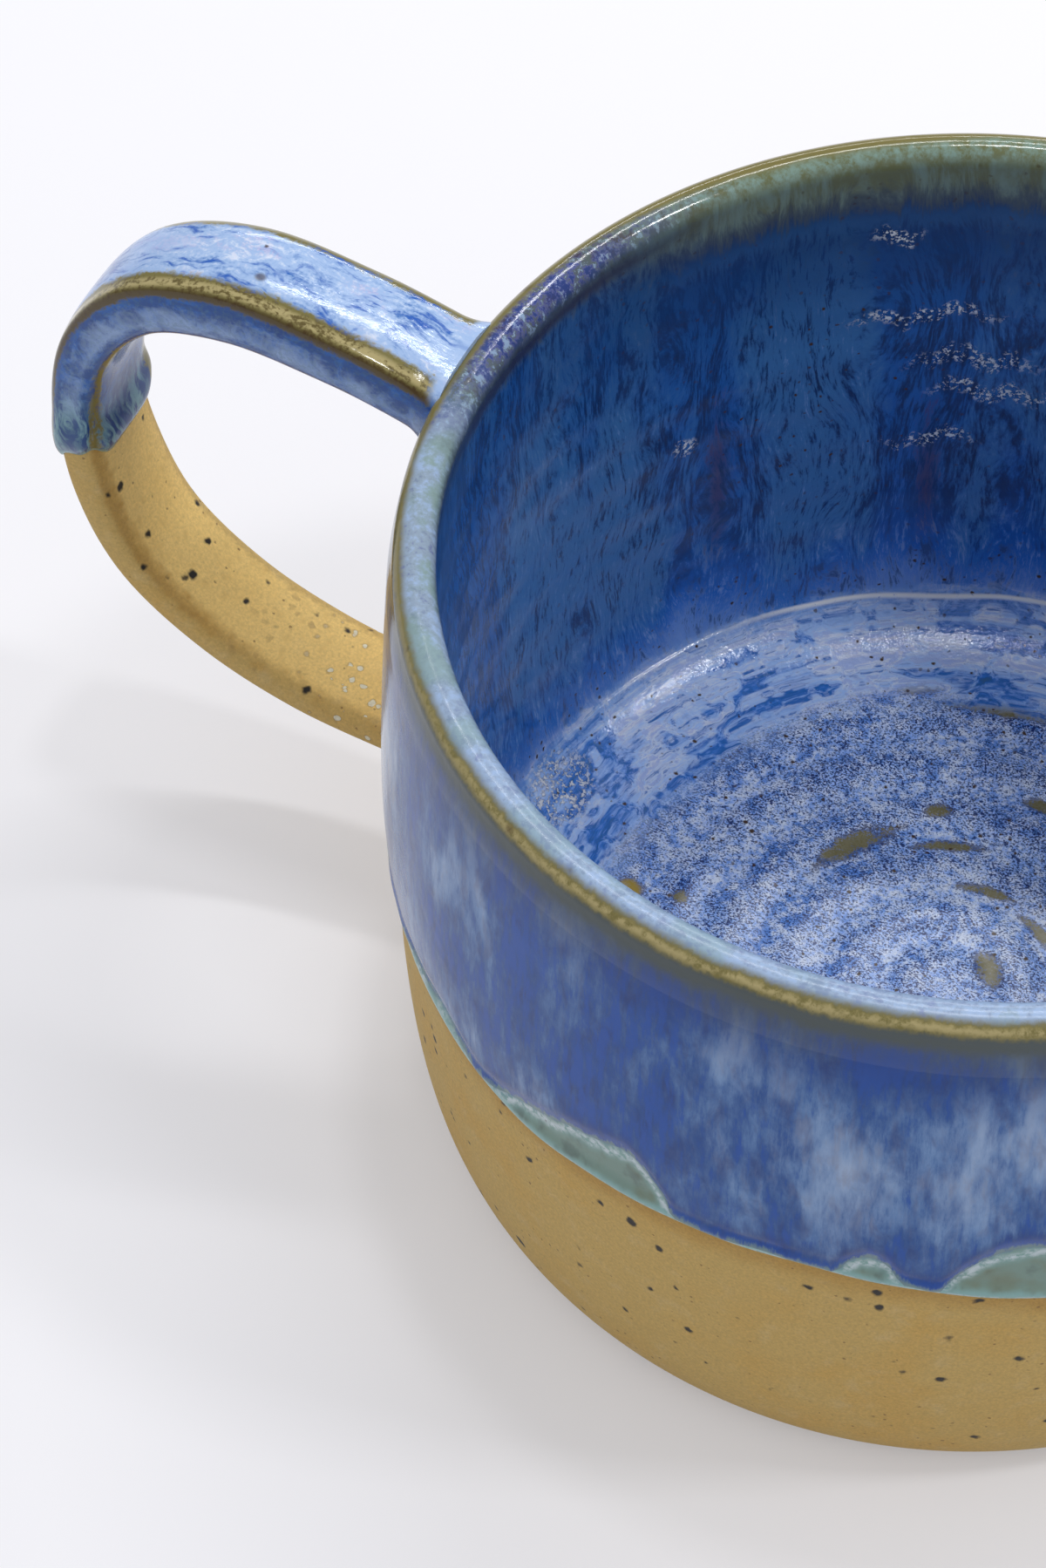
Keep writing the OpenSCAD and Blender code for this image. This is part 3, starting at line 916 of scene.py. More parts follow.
def cove_colour(f, c):
    """The cove: a pale pool with blue swirls that follow the ring. Gives two noises as well."""
    curl = f.lumps(6, 2) * 7
    across = f.r + f.z * 0.8
    ringed = f.vector(f.x / f.r * 9 + curl, f.y / f.r * 9 + curl, across)
    swirl = f.noise(ringed, 3.0, 4, 0.58, 0.3)
    fleece = f.noise(ringed, 0.62, 5, 0.66, 0.2)
    rust = f.noise(ringed, 1.5, 4, 0.7).fade(0.53, 0.64) * (across + curl).band(34, 44, 4)
    pool = f.over(
        c.pool,
        (c.white, fleece.fade(0.42, 0.60) * 0.85),
        (c.lavender, (swirl + fleece.sway(0.5)).fade(0.44, 0.36) * 0.4),
        (c.bright, (swirl * 0.6 + fleece * 0.4).fade(0.45, 0.59) * 0.95),
        (c.middle, (swirl * 0.4 + fleece * 0.6).fade(0.50, 0.62) * 0.8),
        (c.plum, rust * 0.4),
        (c.teal, (swirl * 0.5 + fleece * 0.5).fade(0.58, 0.68) * 0.6),
    )
    return pool, swirl, fleece


def floor_colour(f, c, swirl):
    """The floor: pale ground, dense flecks, faint painted shade along the ridges, and olive where
    the ridges break.
    """
    blotch = f.lumps(6.5, 3, 0.6, 0.6)
    patch = f.lumps(1.8, 4, 0.68)
    crumb = f.lumps(0.75, 3, 0.7)
    slanted = f.vector(f.x * 1.5 + f.y * 0.6, f.y * 2.1 - f.x * 0.5, f.z)
    needles = f.noise(slanted, 0.40, 3, 0.75)
    pitch = settings().bowl.ridge_pitch / MM
    # Painted shade: flecks run a little denser along the ridges, drawing faint dark arcs
    crest = (f.r * (2 * math.pi / pitch) - f.angle()).cos() * 0.5 + (f.lumps(4, 2) - 0.5)
    flecks_and_ridge_shade = needles + (blotch.sway(-0.12) + patch.sway(-0.14) + crest * 0.035)
    dots = f.specks(f.place, 0.62, 0.21, 0.7, 0.25)
    dots = dots * (blotch + patch.sway(0.5)).fade(0.60, 0.44)
    marks = []
    for radius, at, wide, long in FLOOR_BREAKS:
        off = (f.r - radius) * (1 / wide)
        off = (off * off + (1 - f.toward(at)) * (2 * radius**2 / long**2)) ** 0.5
        marks.append(off.fade(1.9, 0.2))
    breaks = reduce(Wire.larger, marks)
    worn = breaks + patch.sway(1.2) + needles.sway(1.6)
    near_break = breaks.fade(0.0, 0.3)
    return f.over(
        c.ground,
        (c.white, (patch * 0.3 + blotch * 0.2 + crumb * 0.5).fade(0.43, 0.60) * 0.85),
        (c.bright, (patch * 0.4 + swirl * 0.4 + crumb * 0.2).fade(0.50, 0.40) * 0.6),
        (c.middle, flecks_and_ridge_shade.fade(0.495, 0.535) * 0.7),
        (c.fleck, flecks_and_ridge_shade.fade(0.530, 0.565)),
        (c.fleck, dots * 0.9),
        (c.fleck, worn.band(0.45, 0.75, 0.15) * near_break * 0.8),
        (c.olive, worn.fade(0.62, 0.85) * near_break * 0.95),
        (c.mustard, f.near((-33.3, -3.5, 5.4), (1.5, 1.5, 4)).fade(1.1, 0.6)),
    )


def inside_colour(f):
    """Colour of the liner by place, from floor to wall. Gives the strokes of its hair as well."""
    c = settings().glaze_colours
    lean = f.noise(f.squat(0.35), 11, 2).sway(9)
    hair = f.noise(f.vector(f.x + lean, f.y + lean, f.z * 0.17), 0.42, 4, 0.7)
    lock = f.noise(f.vector(f.x + lean, f.y + lean, f.z * 0.25), 1.7, 4, 0.62)
    stroke = hair.sway(0.5) + lock.sway(0.5)
    pool, swirl, fleece = cove_colour(f, c)
    away = f.r + swirl.sway(12) + fleece.sway(4)
    up = f.z + stroke * 7 + swirl.sway(6)
    red = f.specks(f.place, 1.0, 0.27, 0.55) * f.lumps(5, 2).fade(0.38, 0.50)
    low = f.z.fade(20, 9) + f.near((-31.9, 36.9, 41), (12, 12, 12)).fade(1.3, 0.6) + 0.45
    colour = f.over(
        floor_colour(f, c, swirl),
        (pool, away.fade(33.0, 37.5)),
        (wall_colour(f, c, hair, lock, stroke), up.fade(7.2, 11.0)),
        (c.brown, red * low.smaller(1.0)),
    )
    return colour, stroke


def liner_finish():
    """The liner: rows of craters with painted white glints, a step round the cove with a painted
    highlight line, and a duller floor.
    """
    c = settings().glaze_colours
    f = Finish("liner_glaze_finish")
    base, stroke = inside_colour(f)
    soft = f.lumps(6, 2)
    ripple = f.lumps(1.3, 3, 0.6)
    pits = f.lumps(0.5, 3, 0.7)
    meander = f.noise(f.vector(f.x, f.y, 0.0), 4.5, 3, 0.6).sway(9)
    rows = []
    for place, size, bent in CRATER_GLINT_ROWS:
        where = f.vector(f.x, f.y, f.z + meander * bent)
        rows.append(f.near(place, size, where).fade(1.2, 0.5))
    # Painted glints: white laid on the crater rows; the same mask also raises the craters' bumps
    frost = reduce(Wire.larger, rows) * (pits + stroke * 0.4).fade(0.51, 0.58)
    shore = f.z + f.lumps(22, 1).sway(2.5)
    # Painted highlight: a thin white line along the step round the cove, on its far side
    line = shore.band(9.0, 9.42, 0.15) * f.toward(108).fade(0.78, 0.94) * pits.fade(0.24, 0.38)
    base = f.over(base, (c.frost, frost * 0.95), (c.frost, line))
    cove = f.z.fade(11, 8) * f.r.fade(34, 38)
    height = ripple * (0.5 + cove * 0.8) + soft + pits * (0.08 + frost * 3.0 + cove * 0.45)
    height = height + shore.fade(9.6, 9.15) * 3.0
    rough = 0.08 + soft * 0.06 + (f.z - soft.sway(2)).fade(6.8, 5.6) * 0.20
    return f.done(base, rough, f.bump(height, 0.07), IOR=LINER_IOR)


def outside_colour(f):
    """Colour of the outer blue by place, olive under the lip, with a painted reflection on its left
    side. Gives two noises as well.
    """
    c = settings().glaze_colours
    drawn = f.noise(f.squat(0.35), 7, 3, 0.55, 0.4)
    streak = f.noise(f.squat(0.18), 0.8, 4, 0.7)
    patch = f.noise(f.squat(0.55), 3.0, 4, 0.65, 0.3)
    murk = f.noise(f.squat(0.35), 1.9, 4, 0.62, 0.4)
    # The second cloud is a painted reflection that makes the coat paler down its left side
    for place, size, push in OUTER_CLOUDS_AND_SHEEN:
        drawn = drawn + f.near(place, size).fade(1.3, 0.3) * push
    top = f.z + streak.sway(5) + drawn.sway(5)
    colour = f.over(
        c.outer,
        (c.cloud, (drawn * 0.50 + patch * 0.25 + streak * 0.25).fade(0.41, 0.65)),
        (c.indigo, (murk * 0.6 + streak * 0.4).fade(0.47, 0.64) * 0.6),
        (c.cobalt, (streak * 0.5 + drawn * 0.5).fade(0.50, 0.38) * 0.7),
        (c.white, (streak * 0.25 + drawn * 0.75).fade(0.50, 0.76) * 0.32),
        (c.indigo, top.fade(59, 65) * 0.4),
        (c.shadow, top.fade(63.5, 69.5) * 0.7),
        (c.brown, f.specks(f.squat(0.8), 5.5, 0.9, 0.25, 1.2) * 0.5),
    )
    return colour, streak, patch


def blue_finish():
    """The blue coat, which darkens and then thins to pale green at its lower edge."""
    c = settings().glaze_colours
    f = Finish("blue_glaze_finish")
    base, streak, patch = outside_colour(f)
    rise = f.note("rise") + f.lumps(1.1, 2).sway(0.9) + streak.sway(3)
    base = f.over(
        base,
        (c.indigo, rise.fade(3.6, 1.4) * 0.55),
        (c.cobalt, rise.fade(2.0, 0.7) * 0.55),
        (c.celadon, rise.fade(0.9, 0.0) * 0.8),
    )
    bump = f.bump(f.lumps(1.6, 3) * 0.5 + f.lumps(6, 2), 0.06)
    rough = 0.10 + patch * 0.08
    return f.done(base, rough, bump, IOR=GLAZE_IOR, Specular_IOR_Level=OUTER_MIRROR)


def green_finish():
    """The pale green coat, frothy beside the blue and turquoise on its rolled edge."""
    c = settings().glaze_colours
    f = Finish("green_glaze_finish")
    rise, under = f.note("rise"), f.note("under")
    cloud = f.noise(f.squat(0.7), 2.6, 3)
    fine = f.lumps(0.7, 3, 0.6)
    froth = (under + cloud.sway(3)).band(0.4, 1.3, 0.6) * fine.fade(0.36, 0.58)
    crest = (rise + (fine - 0.5)).band(0.35, 0.9, 0.3) * fine.fade(0.4, 0.6)
    base = f.over(
        c.celadon,
        (c.shadow, cloud.fade(0.50, 0.70) * 0.5),
        (c.olive, f.lumps(4.5, 2).fade(0.50, 0.68) * 0.35),
        (c.cobalt, (under + fine.sway(1.5)).fade(0.6, 0.0) * 0.35),
        (c.turquoise, (under + cloud.sway(2)).band(0.0, 1.8, 0.8) * 0.6),
        (c.white, froth * 0.7),
        (c.turquoise, (rise + cloud.sway(1.4)).fade(2.0, 1.1) * 0.9),
        (c.white, crest * 0.5),
        (c.brown, f.specks(f.place, 2.6, 0.22, 0.3) * 0.5),
    )
    rough = 0.12 + cloud * 0.06
    bump = f.bump(f.lumps(1.4, 3), 0.04)
    return f.done(base, rough, bump, IOR=GLAZE_IOR, Specular_IOR_Level=OUTER_MIRROR)


def rim_finish():
    """The lip: olive on its edges, clouded on top, dark where it runs in."""
    c = settings().glaze_colours
    f = Finish("rim_glaze_finish")
    across = f.note("across")
    outer, _, patch = outside_colour(f)
    inner, _ = inside_colour(f)
    fine = f.noise(f.squat(0.6), 0.7, 4, 0.7)
    wide = f.lumps(6, 2)
    mottle = fine * 0.6 + f.lumps(2.2, 3, 0.6) * 0.4
    front = f.toward(-70).fade(0.1, 0.8)
    back = f.toward(95).fade(0.35, 0.75)
    joint = f.toward(152).fade(0.72, 0.92)
    at = across + fine.sway(1.3) + wide.sway(1.6)
    ledge = across + fine.sway(1.0) + wide.sway(0.8)
    # The top is violet by the joint and green at the back
    violet = f.over(
        c.violet,
        (c.shadow, mottle.fade(0.47, 0.56)),
        (c.indigo, mottle.fade(0.50, 0.45) * 0.9),
        (c.sky, fine.fade(0.54, 0.64) * 0.6),
        (c.brown, wide.fade(0.50, 0.40) * fine.fade(0.50, 0.42) * 0.7),
    )
    top = f.over(
        c.haze,
        (c.sky, mottle.fade(0.46, 0.62) * 0.6),
        (c.violet, mottle.fade(0.46, 0.36) * 0.6),
        (c.celadon, (wide + mottle.sway(0.5)).fade(0.58, 0.40) * 0.75),
        (c.sky, front * 0.4),
        (c.violet, front * mottle.fade(0.52, 0.42) * 0.25),
        (violet, joint * 0.95),
        (f.mix(c.moss, c.celadon, mottle.fade(0.38, 0.62)), back),
    )
    # From the liner over the top and its outer ledge to the outer coats
    run_in = f.mix(c.navy, c.brown, joint * 0.4)
    # Painted highlight, partly thin glaze: a pale line along the lip's outer crest, strongest at
    # the front
    crest_light_share = mottle.fade(0.38, 0.54) * front * 0.75 + 0.12
    marks = f.specks(f.squat(0.6), 3.8, 0.7, 0.6, 0.8) * at.fade(0.2, 1.2)
    base = f.over(
        inner,
        (run_in, at.band(-4.6, -3.2, 0.8) * (1 - back) * 0.8),
        (top, (at - back * 0.4).fade(-3.1, -1.7)),
        (c.olive, (ledge + front * 0.3 + back * 0.9 + joint * 0.8).fade(0.7, 1.7)),
        (c.ochre, ledge.band(1.5, 2.1, 0.35) * crest_light_share),
        (c.shadow, ledge.fade(2.0, 2.7)),
        (c.brown, marks * 0.85),
        (outer, at.fade(3.2, 4.8)),
    )
    bump = f.bump(f.lumps(1.2, 3) * 0.5 + wide, 0.05)
    dull = across.band(-2.5, 1.2, 0.8) * front * 0.14
    return f.done(base, 0.09 + patch * 0.06 + dull, bump, IOR=GLAZE_IOR)


def strap_glaze_finish():
    """The strap's glaze: clouded blue on the flats, olive where it breaks on the edges."""
    c = settings().glaze_colours
    f = Finish("strap_glaze_finish")
    side, face, along = f.note("side"), f.note("face"), f.note("along")
    rise, off = f.note("rise"), f.note("off")
    drift = f.lumps(5, 2) * 5
    where = f.vector(along * 0.22 + drift * 0.3, f.y + drift, face * 2.5)
    long = f.noise(where, 0.8, 4, 0.65)
    cloud = f.noise(f.vector(along * 0.4, f.y, face * 3), 2.8, 4, 0.6, 0.5)
    fine = f.lumps(0.45, 3, 0.65)
    fibre = long * 0.6 + fine * 0.4
    bend = (along + cloud.sway(30)).fade(26, 44)
    top = f.over(
        c.middle,
        (c.sky, (cloud * 0.5 + fibre * 0.5).fade(0.36, 0.50)),
        (c.lavender, cloud.fade(0.52, 0.64) * fine.fade(0.42, 0.6) * 0.7),
        (c.white, (fibre * 0.7 + cloud * 0.3).fade(0.50, 0.62) * 0.65),
        (c.bright, (fibre + bend * 0.10).fade(0.46, 0.66) * bend * 0.6),
        (c.cobalt, (long * 0.7 + cloud * 0.3 - bend * 0.03).fade(0.48, 0.36) * 0.8),
    )
    pale = fibre * 0.5 + cloud * 0.5 + (0.25 - abs(face + 0.1)) * 0.5
    flank = f.over(
        c.outer,
        (c.bright, long.fade(0.42, 0.62) * 0.45),
        (c.indigo, cloud.fade(0.46, 0.66) * 0.5),
        (c.sky, pale.fade(0.46, 0.70) * 0.8),
        (c.teal, fine.fade(0.46, 0.62) * 0.35),
    )
    lobes = f.over(
        c.deep,
        (c.teal, long.fade(0.44, 0.56)),
        (c.turquoise, (cloud * 0.6 + long * 0.4).fade(0.50, 0.60) * 0.7),
    )
    # The four edges on which the glaze breaks, where it is clear of the wall
    corner = side * face * 2
    ragged = long.sway(0.5) + fine.sway(0.3)
    bare = off.fade(0.3, 1.1)
    near_top = (corner * -1 + ragged).fade(0.66, 0.86) * face.fade(0.0, 0.2)
    far_top = (corner + ragged).fade(0.78, 0.96) * face.fade(0.0, 0.2)
    near_low = (corner + ragged).fade(0.86, 1.02) * face.fade(0.0, -0.2)
    far_low = (corner * -1 + ragged).fade(0.80, 0.97) * face.fade(0.0, -0.2)
    edges = near_top.larger(far_top).larger(near_low).larger(far_low)
    # Painted light and shade on the near edge's ridge: its crest is lit, its underside shaded
    crest = near_top * (corner * -1).fade(0.86, 0.98) * face.fade(0.62, 0.74)
    base = f.over(
        flank,
        (top, (face + fine.sway(0.2)).fade(0.60, 0.80)),
        (lobes, (rise + cloud.sway(8)).fade(11, 4) * 0.85),
        (c.olive, edges * bare),
        # Painted highlight on the ridge's crest, then painted shade in dark brown under it
        (c.ochre, crest * fibre.fade(0.38, 0.56) * bare * 0.75),
        (c.brown, near_top * (face + fine.sway(0.1)).fade(0.70, 0.56) * bare * 0.7),
        (c.brown, near_top * (fine * 0.5 + long * 0.5).fade(0.52, 0.42) * bare * 0.5),
        (c.brown, f.specks(f.place, 3.4, 0.3, 0.25) * 0.85),
        (c.sky, (off + fine.sway(1.6)).fade(1.5, 0.5) * face.fade(0.4, 0.8) * 0.65),
        (c.brown, f.near((-70.6, -1.9, 74), (0.6, 0.5, 2)).fade(1.3, 0.5) * 0.7),
        (c.turquoise, rise.fade(0.8, 0.2) * 0.6),
    )
    bump = f.bump(f.lumps(1.3, 3) * 0.6 + cloud, 0.05)
    return f.done(base, 0.09 + cloud * 0.08, bump, IOR=GLAZE_IOR)


# ---------------------------------------------------------------- the pieces

# Steps round the mug, for the thrown pieces and for the coats with their ragged edges
ROUND = 360
COAT_ROUND = 540
# A height within this of a line lies on it
NEAR = 1e-6


def coats_thick(g):
    """How far the outer coats stand over the clay where they meet the rim glaze."""
    return g.seat * 4 + g.base + g.blue


def rounded_end(run, nose):
    """A quarter round: 0 at the very end, and 1 from the length of the nose on."""
    return np.sqrt(np.maximum(0, 1 - (1 - clamp(run / nose)) ** 2))


def coat_rise(g, h, t, thin=False):
    """Thickness of a coat at a height over its edge: a round lip, then a soft roll."""
    nose = (2.6 if thin else 0.7) * MM
    round_edge = rounded_end(h, nose)
    if thin:
        round_edge = 0.25 * round_edge + 0.75 * soften(clamp(h / nose))
    roll = (0.15 if thin else 1) * g.roll * np.sin(math.pi * clamp(h / g.roll_width))
    return (t + roll) * round_edge


class MUG_OT_throw_body(bpy.types.Operator):
    """Throws the clay bowl, with its cove, lip, belly and trimmed foot"""

    bl_idname = "mug.throw_body"
    bl_label = "Throw Body"

    def execute(self, context):
        s = settings().bowl
        bowl = Bowl(s)
        section = bowl.floor_line(30) + bowl.cove_line(10)
        section += bowl.inner_line(bowl.cove_top, bowl.lip_z, 16) + bowl.lip_line(12)[1:]
        section += bowl.outer_line(bowl.lip_z, s.belly_height, 16)
        for a in np.radians(np.concatenate([np.arange(3, 60, 3), np.arange(60, 85.1, 2.5)])):
            z = s.belly_height * (1 - math.sin(a) ** (2 / s.foot_power))
            section.append((float(bowl.wall_r(z)), z))
        chamfer = 0.5 * MM
        inner = s.foot_radius - s.foot_ring
        section += [
            (s.foot_radius + chamfer * 0.4, chamfer * 0.6),
            (s.foot_radius - chamfer * 0.4, 0),
            (inner + chamfer, 0),
            (inner, chamfer * 0.6),
            (inner - s.recess, s.recess),
        ]
        section += [(inner * (1 - i / 12), s.recess) for i in range(1, 13)]
        piece = throw(draw_section("clay_body", section), ROUND)
        co = places(piece)
        r, az = polar(co)
        on_floor = (co[:, 2] > s.recess * 2) & (co[:, 2] <= s.floor + NEAR)
        on_floor &= r <= bowl.floor_radius + NEAR
        co[:, 2] -= np.where(on_floor, bowl.ridges(r, az), 0)
        press(piece, co)
        finish_piece(piece, "body", clay_finish("clay_body_finish", under_edge), 30)
        return {"FINISHED"}


class MUG_OT_pour_liner(bpy.types.Operator):
    """Pours the liner glaze: a closed skin over the floor, the cove and the inner wall"""

    bl_idname = "mug.pour_liner"
    bl_label = "Pour Liner"

    def execute(self, context):
        s, g = settings().bowl, settings().glaze
        bowl = Bowl(s)
        top = s.height - g.band_in
        low = bowl.cove_top
        under = bowl.floor_line(30) + bowl.cove_line(10) + bowl.inner_line(low, top, 14)
        over = bowl.floor_line(64) + bowl.cove_line(22) + bowl.inner_line(low, top, 34)
        over = np.array(over)
        over = over + g.liner * square_to(over, (1, 0), (0, 1))
        over[0, 0] = 0
        section = [(r, z + g.seat) for r, z in under[:-1]] + [(under[-1][0], top)]
        section += [tuple(map(float, row)) for row in over[::-1]]
        section[0] = (0.0, s.floor + g.seat)
        piece = throw(draw_section("liner", section), ROUND)
        co = places(piece)
        r, az = polar(co)
        z = co[:, 2]
        # The floor's ridges, partly filled on the glaze's face
        flat = (z < s.floor + g.liner + NEAR) & (r <= bowl.floor_radius + NEAR)
        filled = np.where(z > s.floor + g.liner / 2, g.ridge_fill, 1)
        drop = np.where(flat, bowl.ridges(r, az) * filled, 0)
        # The wall's ripples
        face = (bowl.inner_r(z) - r > g.liner * 0.5) & (z > low)
        wave = np.cos(2 * math.pi * (z / (0.95 * s.ridge_pitch) - az / (2 * math.pi)))
        fade = soften(clamp((z - low) / (4 * MM))) * soften(clamp((top - z) / (5 * MM)))
        r = r - np.where(face, s.ripple * wave * fade, 0)
        press(piece, np.stack([r * np.cos(az), r * np.sin(az), z - drop], 1))
        finish_piece(piece, "liner_glaze", liner_finish(), 45)
        return {"FINISHED"}


class MUG_OT_glaze_rim(bpy.types.Operator):
    """Lays the thin glaze over the lip, from the liner's edge to the outer coats"""

    bl_idname = "mug.glaze_rim"
    bl_label = "Glaze Rim"

    def execute(self, context):
        s, g = settings().bowl, settings().glaze
        bowl = Bowl(s)
        low_in, low_out = s.height - g.band_in, s.height - g.band_out
        line = [(float(bowl.inner_r(low_in)), low_in)]
        line += bowl.inner_line(low_in, bowl.lip_z, 8)[:-1] + bowl.lip_line(28)
        line += bowl.outer_line(bowl.lip_z, low_out, 8)
        p = np.array(line)
        square = square_to(p, (0, 1), (0, -1))
        down = s.height - p[:, 1]
        thick = np.where(
            p[:, 0] > bowl.lip_mid,
            mix(g.rim, coats_thick(g), soften(clamp(down / g.band_out))),
            mix(g.rim, g.liner, soften(clamp(down / g.band_in))),
        )
        over, under = p + square * thick[:, None], p + square * g.seat
        section = [tuple(map(float, q)) for q in np.vstack([over, under[::-1], over[:1]])]
        piece = throw(draw_section("rim_skin", section), ROUND)
        # Every vertex is told how far over the lip it lies, from inside to outside
        run = np.concatenate([[0], np.cumsum(np.hypot(*np.diff(over, axis=0).T))])
        crown = run[int(np.argmax(over[:, 1]))]
        co = places(piece)
        r = polar(co)[0]
        gap = np.hypot(r[:, None] - over[None, :, 0], co[:, 2][:, None] - over[None, :, 1])
        note(piece, across=(run[gap.argmin(1)] - crown) / MM)
        finish_piece(piece, "rim_glaze", rim_finish(), 50)
        return {"FINISHED"}


class MUG_OT_dip_coats(bpy.types.Operator):
    """Dips the wall twice: the pale green coat, and the blue coat over it"""

    bl_idname = "mug.dip_coats"
    bl_label = "Dip Outer Coats"

    def execute(self, context):
        s, g = settings().bowl, settings().glaze
        bowl = Bowl(s)
        top = s.height - g.band_out
        # Shares of the coat's height, close together by its edge
        near = [0, 0.03, 0.08, 0.16, 0.27, 0.4, 0.55, 0.75, 1, 1.3, 1.6, 2, 2.4, 3, 4]
        rows = np.concatenate([np.array(near) / 30, np.linspace(5.5 / 30, 1, 15)])
        # A low wall of two skins stands in for a coat until it is pressed to its place
        tall, out, back = 0.01, 0.06, 0.05
        for name, node, slot, edge, thick, material in (
            ("green_coat", "base_glaze_coat", "base_glaze", base_edge, g.base, green_finish()),
            ("blue_coat", "blue_glaze_coat", "blue_glaze", blue_edge, g.blue, blue_finish()),
        ):
            section = [(out, tall * t) for t in rows]
            section += [(back, tall * t) for t in rows[::-1][::3]] + [(back, 0), (out, 0)]
            piece = throw(draw_section(name, section), COAT_ROUND)
            co = places(piece)
            r, az = polar(co)
            z = mix(edge(g, az), top, co[:, 2] / tall)
            seat = bowl.wall_r(z) + g.seat * 2
            if edge is blue_edge:
                seat = seat + coat_rise(g, z - base_edge(g, az), g.base) + g.seat * 2
            rise = coat_rise(g, z - edge(g, az), thick, thin=edge is blue_edge)
            r = seat + np.where(r > (out + back) / 2, np.maximum(rise, 0.004 * MM), 0)
            press(piece, np.stack([r * np.cos(az), r * np.sin(az), z], 1))
            note(piece, rise=(z - edge(g, az)) / MM, under=(blue_edge(g, az) - z) / MM)
            finish_piece(piece, node, material, 60)
        return {"FINISHED"}


class MUG_OT_pull_strap(bpy.types.Operator):
    """Pulls the clay strap and bends it into the handle"""

    bl_idname = "mug.pull_strap"
    bl_label = "Pull Strap"

    def execute(self, context):
        strap = Strap(settings().strap, Bowl(settings().bowl))
        piece = draw_out("clay_strap", 96, 99, hollow=False)
        a, t, _ = bar_places(piece)
        u = mix(strap.at_wall(a, False), strap.at_wall(a, True), t)
        press(piece, strap.point(u, a, strap.bead(u, a) * CLAY_BEAD))
        note(piece, side=np.cos(a), face=np.sin(a))
        clay = clay_finish("clay_strap_finish", strap_flush, strap_painted_light)
        finish_piece(piece, "handle", clay, 50)
        return {"FINISHED"}


class MUG_OT_lute_joints(bpy.types.Operator):
    """Smooths a fillet of slip round both ends of the strap"""

    bl_idname = "mug.lute_joints"
    bl_label = "Lute Joints"

    def execute(self, context):
        s = settings().strap
        strap = Strap(s, Bowl(settings().bowl))
        seat = settings().glaze.seat
        slip = clay_finish("slip_finish")
        for name, node, low_end in (
            ("upper_fillet", "upper_joint_slip", False),
            ("lower_fillet", "lower_joint_slip", True),
        ):
            piece = draw_out(name, 96, 15, hollow=True)
            a, t, over = bar_places(piece)
            root = strap.at_wall(a, low_end, seat)
            u = mix(root, strap.last - 1 if low_end else 1, t)
            if low_end:
                thick = strap.fillet(u, a, s.lower_slip, s.lower_slip_run)
            else:
                thick = strap.upper_fillet(u, a)
            grow = seat + np.where(over, thick + 0.02 * MM, 0)
            press(piece, strap.point(u, a, grow + strap.bead(u, a) * CLAY_BEAD))
            finish_piece(piece, node, slip, 50)
        return {"FINISHED"}


class MUG_OT_glaze_strap(bpy.types.Operator):
    """Dips the strap's upper arm, which ends in thick lobes on the bend"""

    bl_idname = "mug.glaze_strap"
    bl_label = "Glaze Strap"

    def execute(self, context):
        s, g = settings().strap, settings().glaze
        strap = Strap(s, Bowl(settings().bowl))
        piece = draw_out("strap_glaze", 128, 99, hollow=True)
        a, t, over = bar_places(piece)
        deg = np.degrees(a)
        # Three lobes hang from the end
        lobes = np.cos(np.radians(3 * (deg - 205))) + 0.25 * np.sin(np.radians(7 * deg))
        end = strap.last * (g.end_share - g.lobe_share * lobes)
        # More rings of edges towards the end than along the arm
        t = np.where(t < 0.5, t * 0.9, 1 - (1 - t) * 1.1)
        t = mix(t, 1 - (1 - t) ** 2, clamp((t - 0.5) * 2))
        u = mix(strap.at_wall(a, False, g.seat), end, t)
        back = strap.along(end) - strap.along(u)
        # The bead by the end thins on the inner side and in a cleft
        plump = mix(1.25, 0.35, soften(clamp(0.5 + np.sin(a) * 0.8)))
        plump = plump * mix(1, 0.7, clamp(np.cos(a)))
        cleft = np.exp(-((((deg - 225 + 180) % 360 - 180) / 15) ** 2))
        swell = np.sin(math.pi * clamp(back / (6.5 * MM)) ** 0.75) ** 2
        swell = g.bead * plump * (1 - 0.75 * cleft) * swell
        thick = (g.strap + swell) * rounded_end(back, 1.5 * MM)
        slip = strap.upper_fillet(u, a) + strap.bead(u, a) + 2 * g.seat
        p = strap.point(u, a, slip + np.where(over, np.maximum(thick, 0.01 * MM), 0))
        press(piece, p)
        note(piece, side=np.cos(a), face=np.sin(a), off=strap.off_wall(p) / MM)
        note(piece, along=strap.along(u) / MM, rise=back / MM)
        finish_piece(piece, "handle_glaze", strap_glaze_finish(), 60)
        return {"FINISHED"}


# Soft lamps: name, angle, elevation, distance, width, height, level
LAMPS = (
    ("strip_high", 104, 58, 0.8, 0.4, 0.036, 34),
    ("strip_low", 113, 22, 0.9, 0.6, 0.028, 20),
    ("box_right", 15, 55, 0.8, 0.09, 0.09, 50),
    ("box_top", 99, 84, 0.8, 0.06, 0.06, 66),
)


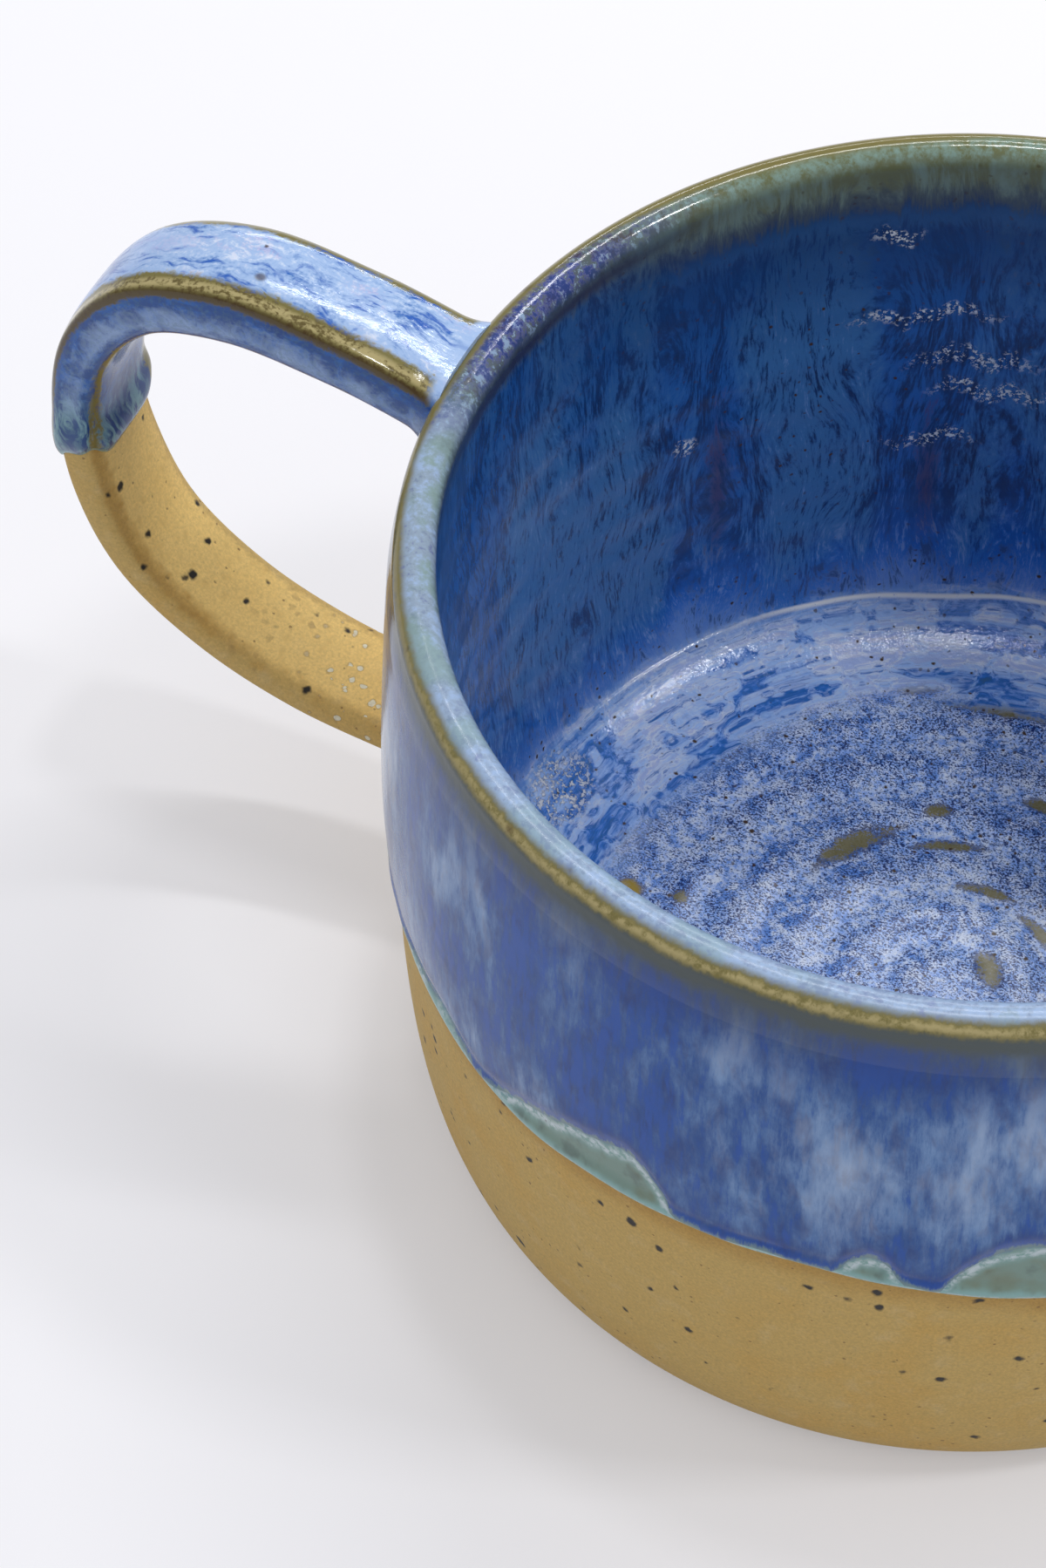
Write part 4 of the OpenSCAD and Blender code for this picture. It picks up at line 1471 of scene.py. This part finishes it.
class MUG_OT_set_stage(bpy.types.Operator):
    """Sets the pale floor, the soft lamps, the even sky and the camera"""

    bl_idname = "mug.set_stage"
    bl_label = "Set Stage"

    def execute(self, context):
        s = settings().stage
        context.scene.view_settings.view_transform = "Standard"
        self.lay_floor(context, s)
        self.hang_sky(context, s)
        for lamp in LAMPS:
            self.hang_lamp(context, s, *lamp)
        bpy.ops.object.camera_add(location=s.eye, rotation=Euler(s.look))
        camera = context.object
        camera.name = camera.data.name = "camera"
        camera.data.lens, camera.data.sensor_width = s.lens, 36
        camera.data.clip_start = 0.01
        context.scene.camera = camera
        return {"FINISHED"}

    def lay_floor(self, context, s):
        bpy.ops.object.select_all(action="DESELECT")
        bpy.ops.mesh.primitive_plane_add(size=8)
        floor = context.object
        floor.name = floor.data.name = "floor"
        f = Nodes(bpy.data.materials.new("floor_finish"))
        seen = f.seen()
        cloth = f.mix(s.bounce, s.cloth, seen)
        lit = f.node("ShaderNodeBsdfDiffuse", {}, {"Color": cloth})
        even = f.node("ShaderNodeEmission", {}, {"Color": s.cloth})
        shader = f.node("ShaderNodeMixShader", {}, {0: seen * s.evenness, 1: lit, 2: even})
        f.node("ShaderNodeOutputMaterial", {}, {"Surface": shader}, None)
        floor.data.materials.append(f.owner)

    def hang_sky(self, context, s):
        f = Nodes(bpy.data.worlds.new("studio"))
        level = f.seen() * (s.sky_gloss - s.sky_level) + s.sky_level
        sky = f.node("ShaderNodeBackground", {}, {"Color": (1, 1, 1), "Strength": level})
        f.node("ShaderNodeOutputWorld", {}, {"Surface": sky}, None)
        context.scene.world = f.owner

    def hang_lamp(self, context, s, name, az, up, away, wide, high, level):
        """Hangs one soft lamp, which faces a place in the mug."""
        a, e = math.radians(az), math.radians(up)
        side = Vector((math.cos(e) * math.cos(a), math.cos(e) * math.sin(a), math.sin(e)))
        bpy.ops.object.light_add(type="AREA", location=side * away + Vector((0, 0, 0.04)))
        lamp = context.object
        lamp.name = lamp.data.name = name
        lamp.data.shape = "RECTANGLE"
        lamp.data.size, lamp.data.size_y = wide, high
        lamp.data.energy = level * s.lamp_level * math.pi * wide * high
        lamp.rotation_euler = side.to_track_quat("Z", "Y").to_euler()


# ---------------------------------------------------------------- the add-on


OPERATORS = (
    MUG_OT_throw_body,
    MUG_OT_pour_liner,
    MUG_OT_glaze_rim,
    MUG_OT_dip_coats,
    MUG_OT_pull_strap,
    MUG_OT_lute_joints,
    MUG_OT_glaze_strap,
    MUG_OT_set_stage,
)


class MUG_PT_panel(bpy.types.Panel):
    """The mug's steps, in the order of work"""

    bl_idname = "MUG_PT_panel"
    bl_label = "Stoneware Mug"
    bl_space_type = "VIEW_3D"
    bl_region_type = "UI"
    bl_category = "Mug"

    def draw(self, context):
        for step in OPERATORS:
            self.layout.operator(step.bl_idname)


CLASSES = (
    *(MugBowl, MugStrap, MugGlaze, MugClayColours, MugGlazeColours, MugStage, MugSettings),
    *OPERATORS,
    MUG_PT_panel,
)


def register():
    for kind in CLASSES:
        bpy.utils.register_class(kind)
    bpy.types.Scene.stoneware_mug = bpy.props.PointerProperty(type=MugSettings)


def unregister():
    del bpy.types.Scene.stoneware_mug
    for kind in reversed(CLASSES):
        bpy.utils.unregister_class(kind)


def main():
    register()
    for step in OPERATORS:
        group, name = step.bl_idname.split(".")
        getattr(getattr(bpy.ops, group), name)()


if __name__ == "__main__":
    main()
